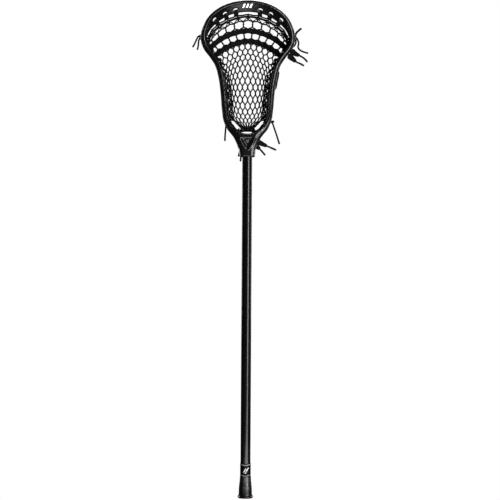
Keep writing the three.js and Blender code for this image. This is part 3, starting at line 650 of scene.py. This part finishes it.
def lace_tail(place, inner, route, aglet_share):
    """A flat lace end that opens out as it leaves its hole, and narrows again into its aglet."""
    line = spline([*inner, *route], 120)
    along = lengths(line)
    whole, free = along[-1], lengths(spline(route, 400))[-1]
    share = (along - (whole - free)) / free
    closing = smoothstep(share, 0.84 * aglet_share, 1.02 * aglet_share)
    open_share = smoothstep(share, -0.06, 0.1) * (1 - closing)
    spread = 1.5 - 0.64 * smoothstep(share, 0.08, aglet_share)
    half_across = GATHERED_ACROSS + (spread * LACE["tail_width"] / 2 - GATHERED_ACROSS) * open_share
    half_through = GATHERED_THROUGH + (TAIL_THICKNESS / 2 - GATHERED_THROUGH) * open_share
    inside_aglet = share > aglet_share
    half_across[inside_aglet] = half_through[inside_aglet] = AGLET_RADIUS - GAP
    wave = 0.35 * np.sin(along * 0.9) * open_share
    size = np.stack([half_across, half_through], axis=1)
    waved = line + BACK * wave[:, None]
    lace = Skin().tube(waved, size, sides=20, across=face_on(line)).woven(f"lace_{place}")
    sheath = aglet(place, line[share >= aglet_share + 0.01])


for name, (inner, route) in STRING_TAILS.items():
    string_tail(name, inner, route)
for place, (inner, route, aglet_share) in LACE_TAILS.items():
    lace_tail(place, inner, route, aglet_share)


# ---- Knots outside the sidewalls, and the ways that cord is tied
def twisted_pair(skin, axis, a, b, angle, radius, sides=8):
    """Two cords that turn round an axis, on an ellipse with the half axes a and b."""
    for phase in (0, math.pi):
        skin.tube(axis + a * np.cos(angle + phase) + b * np.sin(angle + phase), radius, sides)


def link(skin, a, b, side_on, past_ends, half_width, radius):
    """A closed loop of cord round two points."""
    span = a - b
    half = unit(span) * (np.linalg.norm(span) / 2 + past_ends)
    loop = ring((a + b) / 2, half, unit(np.cross(span, side_on)) * half_width)
    skin.tube(loop, radius, sides=7, closed=True)


def knot(name, centre, half):
    """A trefoil of cord, flattened into a knot's half sizes, round a plain core."""
    a, sin, cos = angles(72), np.sin, np.cos
    trefoil = np.stack([sin(a) + 2 * sin(2 * a), -sin(3 * a), cos(a) - 2 * cos(2 * a)], axis=1)
    room = np.array(half) - STRING_RADIUS
    core = np.array([[-0.4, 0, -0.4], [0, 0, 0], [0.4, 0, 0.4]])
    skin = Skin()
    skin.tube(np.array(centre) + trefoil * room / (3, 1, 3), 1.3 * STRING_RADIUS, sides=12, closed=True)
    skin.tube(np.array(centre) + core * room, 0.9 * room.min(), sides=10)
    skin.braided(name)


for name, (centre, half) in KNOTS.items():
    knot(name, centre, half)


# ---- Netting
STRAND_RADIUS = 1.32
FOLD_RADIUS = 0.95  # strands of the folded-over top edge
KNOT_RADIUS, KNOT_ACROSS, KNOT_THROUGH = 1.1, 0.72, 0.576  # of a knot's two cords, and of their twist
COLLAR_RADIUS, COLLAR_ACROSS, COLLAR_THROUGH, COLLAR_LEAN = 0.5, 1.4, 1.2, 0.5  # of the cord round its middle
KNOT_HALF_LENGTHS = {-1: 1.6, 0: 1.8, 1: 3.4, 2: 6.6, 3: 3.6, 4: 5.6, 5: 3.4, 21: 1.2}  # by row
KNOT_HALF_LENGTH = 3.1  # in the other rows


def columns_of(row):
    """Columns of a row's knots. The rows are staggered, and only the odd ones have a knot on each edge."""
    edge = HALF_COLUMNS if row % 2 else HALF_COLUMNS - 0.5
    return np.arange(-edge, edge + 0.5)


def knot_ends(column, row):
    """Upper and lower end of a knot, its direction down the netting, and the direction across it."""
    inside = HALF_COLUMNS - 0.1
    across, down, _ = pocket_frame(min(max(column, -inside), inside), row)
    below, above = pocket_point(column, min(row + 1, LAST_ROW)), pocket_point(column, max(row - 1, FIRST_ROW))
    half = min(KNOT_HALF_LENGTHS.get(row, KNOT_HALF_LENGTH), 0.45 * np.linalg.norm(below - above) / 2)
    middle = pocket_point(column, row)
    return middle - down * half, middle + down * half, down, across


def strand_scale(row):
    """Strands are a little thicker at the top string, and thinner at the foot, where they are tight."""
    return 1.0 + 0.1 * (1 - smoothstep(row, 0.9, 3.1)) - 0.14 * smoothstep(row, 15, 18)


def net_knot(skin, column, row):
    """Two cords twisted once round each other, with a collar."""
    top, foot, down, across = knot_ends(column, row)
    normal = np.cross(across, down)
    steps = np.linspace(0, 1, 9)[:, None]
    axis, radius = top + (foot - top) * steps, KNOT_RADIUS * strand_scale(row)
    twisted_pair(skin, axis, across * KNOT_ACROSS, normal * KNOT_THROUGH, TURN * steps, radius, sides=7)
    through = COLLAR_THROUGH * normal + COLLAR_LEAN * down
    collar = ring((top + foot) / 2, COLLAR_ACROSS * across, through, count=12)
    skin.tube(collar, COLLAR_RADIUS, sides=6, closed=True)


def net_strand(skin, column, row, step):
    """The strand down from a knot to its neighbour on the next row."""
    _, foot, down, across = knot_ends(column, row)
    top, _, next_down, next_across = knot_ends(column + step, row + 1)
    aside, overlap = math.copysign(0.5, step), 0.6
    start = foot + across * aside
    end = top - next_across * aside
    reach = 0.75 * np.linalg.norm(end - start)
    t = np.linspace(0, 1, 7)[:, None]
    line = cubic(t, start - overlap * down, down * reach, end + overlap * next_down, next_down * reach)
    skin.tube(line, STRAND_RADIUS * strand_scale(row), sides=7)


def folded_edge(skin):
    """The netting's folded-over top edge, behind its first rows."""
    for row, edge in ((-0.5, HALF_COLUMNS - 0.5), (0.5, HALF_COLUMNS)):
        for column in np.arange(-edge, edge + 0.5):
            for other in (column - 0.5, column + 0.5):
                if abs(other) > HALF_COLUMNS:
                    continue
                start, end = pocket_point(column, row), pocket_point(other, row + 1)
                _, _, normal = pocket_frame(column, row)
                skin.tube(spline([start, (start + end) / 2 - 0.8 * normal, end], 7), FOLD_RADIUS, sides=7)


def netting():
    skin = Skin()
    for row in range(FIRST_ROW, LAST_ROW + 1):
        for column in columns_of(row):
            net_knot(skin, column, row)
            for step in (-0.5, 0.5):
                if row < LAST_ROW and abs(column + step) <= HALF_COLUMNS:
                    net_strand(skin, column, row, step)
    folded_edge(skin)
    skin.piece("mesh_netting", MESH, "pocket_mesh", "mesh_pocket")


netting()


# ---- Shooting strings
SHOOTER_REACH = 4.75  # columns to each side at which a shooting string leaves the netting for its hole


def shooting_string(name, row, hole):
    """A flat lace across the netting. It narrows beside each knot, and its ends go out through holes."""
    half_width, half_thickness = LACE["width"] / 2, LACE["thickness"] / 2
    line, across, size = [], [], []
    for column in np.linspace(-SHOOTER_REACH, SHOOTER_REACH, 220):
        _, down, normal = pocket_frame(column, row)
        near_knot = math.cos(math.pi * column) ** 2
        line.append(pocket_point(column, row) + normal * (1.9 + 0.7 * near_knot))
        across.append(down)
        size.append((half_width * (1 - 0.1 * near_knot), half_thickness * (0.75 + 0.2 * near_knot)))
    for side in (1, -1):
        route = spline([line[-4], line[-1], beside_rail(hole, 3.0, side), beside_rail(hole, -4.5, side)], 30)
        route = route[np.argmin(np.linalg.norm(route - line[-1], axis=1)) + 1:]
        share = np.linspace(0, 1, len(route))
        line += list(route)
        across += [across[-1]] * len(route)
        size += [(half_width * (1 - 0.62 * t**1.5), half_thickness * (0.85 + 0.7 * t)) for t in share]
        line, across, size = line[::-1], across[::-1], size[::-1]
    Skin().tube(line, size, sides=22, across=np.array(across)).woven(name)


shooting_string("shooting_string_upper", 3, SIDE_HOLES[8])
shooting_string("shooting_string_lower", 5, SIDE_HOLES[7])


# ---- Sidewall strings
# How the string dips through each hole: height from the hole, and inset.
HOLE_STITCH = ((5.5, 2.4), (1.1, 0.9), (0.6, -2.5), (-0.6, -2.5), (-1.1, 0.9), (-5.5, 2.4))
ZIGZAG_STEP = 4.83
LINK_RADIUS = 0.8  # thin cord that ties the netting to its strings
# Ties beside the rail: column and row of the knot that each holds, and how far up the rail it goes.
RAIL_TIES = ((4.5, 0, 5), (5, 1, 6), (4.5, 2, 9), (5, 3, 5), (4.5, 4, 7), (5, 5, 6))
TIE_RADIUS = 1.15
# The run of the right string outside its rail: height, and distance from the outline.
OUTER_RUN = ((876, -3.5), (873, 0.2), (868, 1.4), (861, 1.7), (853, 1.5), (845, 1.5), (839, 0.4), (836, -3.5))
OUTER_RUN_RADIUS = 1.9


def string_along_rail(skin, side):
    """The string's run through the holes, and the zigzag cord over it."""
    points = []
    for hole in SIDE_HOLES[::-1]:
        points += [beside_rail(hole + rise, inset, side) for rise, inset in HOLE_STITCH]
        if hole > SIDE_HOLES[0]:
            points.append(beside_rail(hole - 9.7, 3.4, side))
    skin.tube(spline(points, 420), STRING_RADIUS)
    weave = []
    for i, z in enumerate(np.arange(SIDE_HOLES[-1] + 5, SIDE_HOLES[0], -ZIGZAG_STEP)):
        place = beside_rail(z, 6.4 if i % 2 else 0.6, side)
        weave.append(place + BACK * 1.4 * math.cos(i * math.pi / 2))
    skin.tube(spline(weave, 420), STRING_RADIUS)


def sidewall_string(side, label):
    skin = Skin()
    string_along_rail(skin, side)
    for hole in SIDE_HOLES:
        rail_middle = beside_rail(hole, -3.0, side, before=1.3)
        loop = ring(rail_middle, outline_at(hole, side)[1] * 4.2, BACK * 3.0)
        skin.tube(loop, STRING_RADIUS * 0.92, closed=True)
    for row in range(FIRST_ROW, LAST_ROW, 2):
        edge_knot = pocket_point(side * HALF_COLUMNS, row)
        link(skin, edge_knot, beside_rail(edge_knot[2], 2.2, side), BACK, 1.3, 1.7, LINK_RADIUS)
    for column, row, rise in RAIL_TIES:
        held = pocket_point(side * column, row)
        anchor = beside_rail(held[2] + rise, 0.8, side)
        sag = (held + anchor) / 2 + (0, 0.6, -1.2)
        skin.tube(spline([held, sag, anchor], 16), TIE_RADIUS, sides=7)
    if side > 0:
        run = []
        for z, lift in OUTER_RUN:
            point, outward = outline_at(z)
            run.append(point + outward * lift + BACK * (front_edge(z) + 13))
        skin.tube(spline(run, 60), OUTER_RUN_RADIUS, sides=10)
    skin.braided(f"sidewall_string_{label}")


sidewall_string(-1, "left")
sidewall_string(1, "right")


# ---- Top string
LOOP_SHIFTS = (-3.4, -1.2, 1.0, 3.2)  # places along the rim of the four loops through each scoop hole


def away_from_net(column, place):
    """The outline's outward direction beside a point of the netting's top edge."""
    return outline_at(min(place[2] + 22, 1015.5))[1] * (math.copysign(1, column), 1, 1)


def scoop_loops(skin, i, side, hole_inset):
    """The leaning loops of cord through one scoop hole, beside the outline's point i."""
    point, tangent, outward = (v[i] * (side, 1, 1) for v in (RIGHT_SIDE, RIGHT_TANGENT, RIGHT_OUTWARD))
    inner, outer = back_inset(point[2]) + 5.2, hole_inset + 0.3
    for shift in LOOP_SHIFTS:
        middle = point - outward * (inner + outer) / 2 + tangent * shift
        middle[1] = back_edge(point[2]) - 3.8
        loop = ring(middle, outward * (inner - outer) / 2 - tangent * 1.2, BACK * 5.0)
        skin.tube(loop, STRING_RADIUS, closed=True)


def top_string():
    skin = Skin()
    points = []
    for column in np.linspace(-4.9, 4.9, 60):
        place = pocket_point(column, FIRST_ROW)
        points.append(place + away_from_net(column, place) * (2.0 + 0.5 * math.cos(TURN * column)) - BACK)
    skin.tube(spline(points, 360), STRING_RADIUS)
    for column in range(1 - HALF_COLUMNS, HALF_COLUMNS):
        place = pocket_point(column, FIRST_ROW)
        away = away_from_net(column, place)
        skin.tube(ring(place + away * 0.9, away * 3.1, BACK * 2.0), LINK_RADIUS, sides=7, closed=True)
    for hole_x, hole_inset in SCOOP_HOLES:
        centres = RIGHT_SIDE - RIGHT_OUTWARD * hole_inset
        for side in (1, -1):
            scoop_loops(skin, int(np.argmax(centres[:, 0] > hole_x)), side, hole_inset)
    skin.braided("top_string")


top_string()


# ---- Bottom string
BOTTOM_MIDDLE = (0, 28.8, 753.4)
BOTTOM_RIGHT = [
    (7, 28.6, 753.2), (15, 28, 751.8), (24, 27, 755.4), (31, 23.5, 764), (36, 21.5, 767), (41, 21.3, 767),
]
BOTTOM_RADIUS, BOTTOM_OFF_AXIS, BOTTOM_PITCH = 1.6, 0.9, 7.5  # of its two twisted cords
BOTTOM_LINK_RADIUS = 1.3


def bottom_string():
    """Two twisted cords under the netting, with a link to each of its last knots."""
    skin = Skin()
    route = spline(mirrored(BOTTOM_MIDDLE, BOTTOM_RIGHT), 160)
    off = BOTTOM_OFF_AXIS * face_on(route)
    angle = lengths(route)[:, None] / BOTTOM_PITCH * TURN
    twisted_pair(skin, route, off, np.cross(tangents(route), off), angle, BOTTOM_RADIUS)
    for column in columns_of(LAST_ROW):
        place = pocket_point(column, LAST_ROW)
        target = route[int(np.argmin(np.abs(route[:, 0] - place[0])))]
        link(skin, place, target, (1, 0, 0), 1.2, 1.6, BOTTOM_LINK_RADIUS)
    skin.braided("bottom_string")


bottom_string()


# ---- Shaft, film, cap and screw
FACET_POINTS = 14
CAP_FOOT_LEVELS = (0.25, 0.5, 0.8, 1.2, 1.7, 2.2, 2.8, 3.4, 4.0, 4.6, 5.2, 5.8, 6.4, 7.0, 7.7, 8.4, 9.4)
SOCKET_HALF_WIDTH, SOCKET_MOUTH, SOCKET_DEPTH = 1.7, 2.1, 1.5
THREAD_DEPTH, THREAD_STEP = 0.22, 0.35


def shaft_ring(grow, z, scale=(1, 1)):
    """The shaft's section at one height, grown outwards: crowned facets with softened corners."""
    f, side, crown = (SHAFT[k] for k in ("front_flat", "side_flat", "crown"))
    w, d = SHAFT["half_width"] - crown, SHAFT["half_depth"] - crown
    corners = [(f, -d), (w, -side), (w, side), (f, d), (-f, d), (-w, side), (-w, -side), (-f, -d)]
    points = []
    for (x0, y0), (x1, y1) in zip(corners, corners[1:] + corners[:1]):
        length = math.hypot(x1 - x0, y1 - y0)
        nx, ny = (y1 - y0) / length, -(x1 - x0) / length
        for k in range(FACET_POINTS):
            t = (k + 0.5) / FACET_POINTS
            out = grow + crown * math.sin(math.pi * t)
            points.append((x0 + (x1 - x0) * t + nx * out, y0 + (y1 - y0) * t + ny * out))
    points = np.array(points)
    for _ in range(2):
        points = 0.5 * points + 0.25 * (np.roll(points, 1, axis=0) + np.roll(points, -1, axis=0))
    return np.column_stack([points * scale, np.full(len(points), z)])


def shaft_tube():
    ends = [0, 0.3, 1.2]
    height = SHAFT["top"] - SHAFT["bottom"]
    levels = np.unique(np.concatenate([ends, np.arange(10, height - 5, 12), height - np.array(ends)]))
    levels = levels + SHAFT["bottom"]
    rings = [shaft_ring(0, z) for z in levels] + [shaft_ring(-SHAFT["wall"], z) for z in levels[::-1]]
    Skin().loft(rings, closed=True).piece("shaft_tube", ALLOY, "shaft_alloy", "shaft")


def butt_film():
    levels = np.linspace(DECAL["bottom"], DECAL["top"], 26)
    rings = [shaft_ring(GAP + DECAL["thickness"], z) for z in levels]
    rings += [shaft_ring(GAP, z) for z in (levels[-1], levels[0])]
    Skin().loft(rings, closed=True).piece("butt_film", FILM, "decal_film", "butt_decal")


def butt_cap():
    """The cap with its flared foot, its hollow for the shaft, and its plug."""
    extra = profile(CAP_PROFILE)

    def level(z, past_shaft):
        scale = (1 + past_shaft / SHAFT["half_width"], 1 + past_shaft / SHAFT["half_depth"])
        return shaft_ring(0, z, scale)

    top, floor, plug = CAP_HEIGHT, SHAFT["bottom"] - GAP, -SHAFT["wall"] - GAP
    rings = [level(0.0, -2.0), level(0.0, 3.2)]
    rings += [level(z, extra(z)) for z in (*CAP_FOOT_LEVELS, *np.linspace(11, top - 0.6, 22))]
    rings += [level(top - 0.2, extra(top) - 0.1), level(top, extra(top) - 0.4)]
    inside = ((GAP, top - 0.1), (GAP, floor), (plug, floor), (plug, CAP_PLUG_TOP))
    rings += [shaft_ring(grow, z) for grow, z in inside]
    Skin().loft(rings).piece("butt_cap", RUBBER, "cap_rubber", "end_cap")


def throat_screw():
    """Button head with a hexagonal socket, and its threaded shank, as rings round an axis along Y."""
    angle, sixth = angles(48), TURN / 6
    hexagon = SOCKET_HALF_WIDTH / np.cos((angle + sixth / 2) % sixth - sixth / 2) * math.cos(sixth / 2)
    seat = SCREW["seat"] - GAP
    face, rim, shank = seat - SCREW["head_height"], SCREW["head_radius"], SCREW["shank_radius"]
    floor = face + SOCKET_DEPTH
    levels = [(hexagon * 0.9, floor + 0.1), (hexagon, floor), (hexagon, face + 0.15), (hexagon + 0.12, face)]
    for t in np.linspace(0.12, 1, 9) * TURN / 4:
        levels.append((SOCKET_MOUTH + (rim - SOCKET_MOUTH) * math.sin(t), face + 1.5 * (1 - math.cos(t))))
    levels += [(rim, seat - 0.2), (rim - 0.2, seat), (shank, seat + 0.05)]
    for i, y in enumerate(np.arange(seat + 0.6, SCREW["tip"] - 0.4, THREAD_STEP)):
        levels.append((shank - (THREAD_DEPTH if i % 2 else 0), y))
    levels.append((shank - 0.5, SCREW["tip"]))
    around = ring((0, 0, 0), (1, 0, 0), (0, 0, 1), count=48)
    rings = [np.reshape(radius, (-1, 1)) * around + (0, y, SCREW["z"]) for radius, y in levels]
    Skin().loft(rings).piece("throat_screw", STEEL, "screw_steel", "head_screw")


shaft_tube()
butt_film()
butt_cap()
throat_screw()


# ---- Head
VOXEL, QUICK_VOXEL = 0.9 * MM, 1.8 * MM
ROUNDING_STEPS = 9
SWELL = 0.55 * MM  # gives back what the rounding takes off the moulding's thickness
FACE_LIMIT = 230000
THROAT_FRONT = [(698, 17.6), (712, 17.8), (722, 18.6), (730, 19.2), (738, 19.2), (746, 18)]  # depth over Z
VEE_RIGHT = [(4.2, 0, 713.2), (13.4, 0, 729.5), (16.2, 0, 734.5)]
VEE_FOOT = (0, 0, 709.6)
VEE_RADIUS, LIP_RADIUS = 1.35, 1.5
LIP_HALF_ANGLE, LIP_BELOW_BOWL, LIP_FRONT = 0.62, 2.4, -16.6


def throat_ribs():
    """Raised V round the screw's recess, and the rounded lip under the ball stop."""
    face = profile(THROAT_FRONT)
    skin = Skin()
    vee = spline(mirrored(VEE_FOOT, VEE_RIGHT), 90)
    vee[:, 1] = [0.5 - face(z) for z in vee[:, 2]]
    skin.tube(vee, VEE_RADIUS, sides=12)
    angle = np.linspace(-LIP_HALF_ANGLE, LIP_HALF_ANGLE, 60)
    x = (BOWL["half_width"] + LIP_BELOW_BOWL) * np.sin(angle)
    z = BOWL["centre"] - (BOWL["height"] + LIP_BELOW_BOWL) * np.cos(angle)
    return skin.tube(np.stack([x, np.full(60, LIP_FRONT), z], axis=1), LIP_RADIUS, sides=12)


def head_moulding():
    """The CAD moulding and its ribs, melted together with rounded edges."""
    moulding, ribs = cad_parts["head"].data, throat_ribs()
    start = len(moulding.vertices)
    points = [tuple(v.co) for v in moulding.vertices] + (np.vstack(ribs.vertices) * MM).tolist()
    faces = [tuple(p.vertices) for p in moulding.polygons] + [tuple(i + start for i in f) for f in ribs.faces]
    joined = bpy.data.meshes.new("joined")
    joined.from_pydata(points, [], faces)
    voxel = VOXEL
    rounded = with_modifiers(
        joined,
        ("REMESH", {"mode": "VOXEL", "voxel_size": voxel, "use_smooth_shade": True}),
        ("SMOOTH", {"factor": 0.5, "iterations": ROUNDING_STEPS}),
        ("DISPLACE", {"strength": SWELL, "mid_level": 0.0}),
    )
    share = min(1.0, FACE_LIMIT / (2 * len(rounded.polygons)))
    light = with_modifiers(rounded, ("DECIMATE", {"decimate_type": "COLLAPSE", "ratio": share}))
    return finished("head_moulding", light, NYLON, "head")


# ---- Mark on the scoop: three plain slanted bars
BAR_CENTRES, BAR_HALF, BAR_BOTTOM, BAR_TOP, BAR_LEAN = (-8.4, -1.2, 6), 2.1, 1001.8, 1009, 0.5
INK_LIFT, INK_DEPTH = 0.12, 0.2  # how far the ink stands out of the moulding and goes into it


def scoop_mark(head):
    """The printed bars, laid on the front of the head."""
    faces = [tuple(p.vertices) for p in head.data.polygons]
    surface = BVHTree.FromPolygons([v.co for v in head.data.vertices], faces)

    def on_front(x, z, lift):
        hit, normal, _, _ = surface.ray_cast(Vector((x, -60, z)) * MM, Vector(BACK))
        return np.array(hit + normal * lift * MM) / MM

    skin = Skin()
    for middle in BAR_CENTRES:
        outlines = []
        for z in np.linspace(BAR_BOTTOM, BAR_TOP, 9):
            lean = BAR_LEAN * (z - (BAR_BOTTOM + BAR_TOP) / 2)
            across = [middle + lean + BAR_HALF * t for t in np.linspace(-1, 1, 5)]
            front = [on_front(x, z, INK_LIFT) for x in across]
            outlines.append(front + [on_front(x, z, -INK_DEPTH) for x in across[::-1]])
        skin.loft(outlines)
    skin.piece("scoop_mark", INK, "decal_film")


scoop_mark(head_moulding())


# ---- Ball stop pad
PAD_HALF_WIDTH, PAD_MIDDLE = 14, 1
SIDE_POWER, CROWN_POWER = 0.35, 0.5  # how full its section is at its sides and on its top


def ball_stop_pad():
    """Foam strip that is crowned between its rounded edges."""
    rings = []
    reach = BALL_STOP_PAD["half_angle"]
    for angle in np.linspace(-reach, reach, 65):
        sin, cos = math.sin(angle), math.cos(angle)
        inward = unit([-sin / BOWL["half_width"], 0, cos / BOWL["height"]])
        floor = np.array([BOWL["half_width"] * sin, 0, BOWL["centre"] - BOWL["height"] * cos])
        tip = 1 - smoothstep(abs(angle), reach - 0.06, reach) * 0.45
        section = []
        for turn in angles(40):
            c, s = math.cos(turn), math.sin(turn)
            across = PAD_HALF_WIDTH * math.copysign(abs(c) ** SIDE_POWER, c)
            crown = 1 + tip * math.copysign(abs(s) ** CROWN_POWER, s)
            up = BALL_STOP_PAD["thickness"] / 2 * crown + GAP
            section.append(floor + inward * up + BACK * (across + PAD_MIDDLE))
        rings.append(section)
    return Skin().loft(rings).piece("ball_stop_foam", FOAM, "stop_foam", "ball_stop_pad")


ball_stop_pad()


# ---- Stage, in metres
FLOOR_HALF = 3.0
FLOOR_LEVEL = -0.0003


def glow(owner, shader, output, reflected):
    """Makes a world or a material white to the camera, and dim in reflections."""
    owner.use_nodes = True
    nodes, links = owner.node_tree.nodes, owner.node_tree.links
    nodes.clear()
    path = nodes.new("ShaderNodeLightPath")
    mix = nodes.new("ShaderNodeMixShader")
    links.new(path.outputs["Is Camera Ray"], mix.inputs[0])
    for i, strength in ((1, reflected), (2, 1.0)):
        light = nodes.new(shader)
        light.inputs["Color"].default_value = (1, 1, 1, 1)
        light.inputs["Strength"].default_value = strength
        links.new(light.outputs[0], mix.inputs[i])
    links.new(mix.outputs[0], nodes.new(output).inputs[0])


world = bpy.data.worlds.new("studio")
bpy.context.scene.world = world
glow(world, "ShaderNodeBackground", "ShaderNodeOutputWorld", 0.03)
pale = bpy.data.materials.new("pale_floor")
glow(pale, "ShaderNodeEmission", "ShaderNodeOutputMaterial", 0.04)
floor_mesh = bpy.data.meshes.new("floor")
corners = [(x * FLOOR_HALF, y * FLOOR_HALF, FLOOR_LEVEL) for x, y in ((-1, -1), (1, -1), (1, 1), (-1, 1))]
floor_mesh.from_pydata(corners, [], [(0, 1, 2, 3)])
floor_mesh.materials.append(pale)
in_scene("floor", floor_mesh)


# ---- Lights, in metres and watts
def area_light(name, size, power):
    data = bpy.data.lights.new(name, "AREA")
    data.shape = "RECTANGLE"
    data.size, data.size_y = size
    data.energy = power
    lamp = in_scene(name, data)
    lamp.visible_camera = False
    return lamp


def softbox(name, azimuth, elevation, size, power, aim=0.55, distance=2.6):
    """A light at a bearing from the object, 0 in front of it and 90 at +X, aimed at a height on its axis."""
    turn, rise = math.radians(azimuth), math.radians(elevation)
    way = Vector((math.sin(turn) * math.cos(rise), -math.cos(turn) * math.cos(rise), math.sin(rise)))
    lamp = area_light(name, size, power)
    lamp.location = Vector((0, 0, aim)) + way * distance
    lamp.rotation_euler = (-way).to_track_quat("-Z", "Y").to_euler()


def floor_card(name, azimuth, near, far, width, power):
    """A light that lies on the floor and shines up."""
    turn, middle = math.radians(azimuth), (near + far) / 2
    lamp = area_light(name, (width, far - near), power)
    lamp.location = (middle * math.sin(turn), -middle * math.cos(turn), 0.004)
    lamp.rotation_euler = (math.pi, 0, turn)


softbox("key_right", 24, 3, size=(0.5, 2.2), power=80, aim=0.5)
floor_card("key_on_floor", 24, near=0.15, far=2.5, width=0.5, power=36)
softbox("rim_right", 41, -4, size=(0.3, 1.8), power=26, aim=0.7)
softbox("side_right", 102, 5, size=(0.3, 2.0), power=4, aim=0.5)
softbox("back_left", -134, 12, size=(0.5, 1.8), power=26)
softbox("back_right", 134, 12, size=(0.5, 1.8), power=26)
softbox("back_fill", 180, 40, size=(1.2, 1.2), power=40)
softbox("overhead", 180, 82, size=(1.0, 1.0), power=8, aim=0.9, distance=2.2)

bpy.context.scene.view_settings.view_transform = "Standard"
bpy.context.scene.view_settings.gamma = 0.85
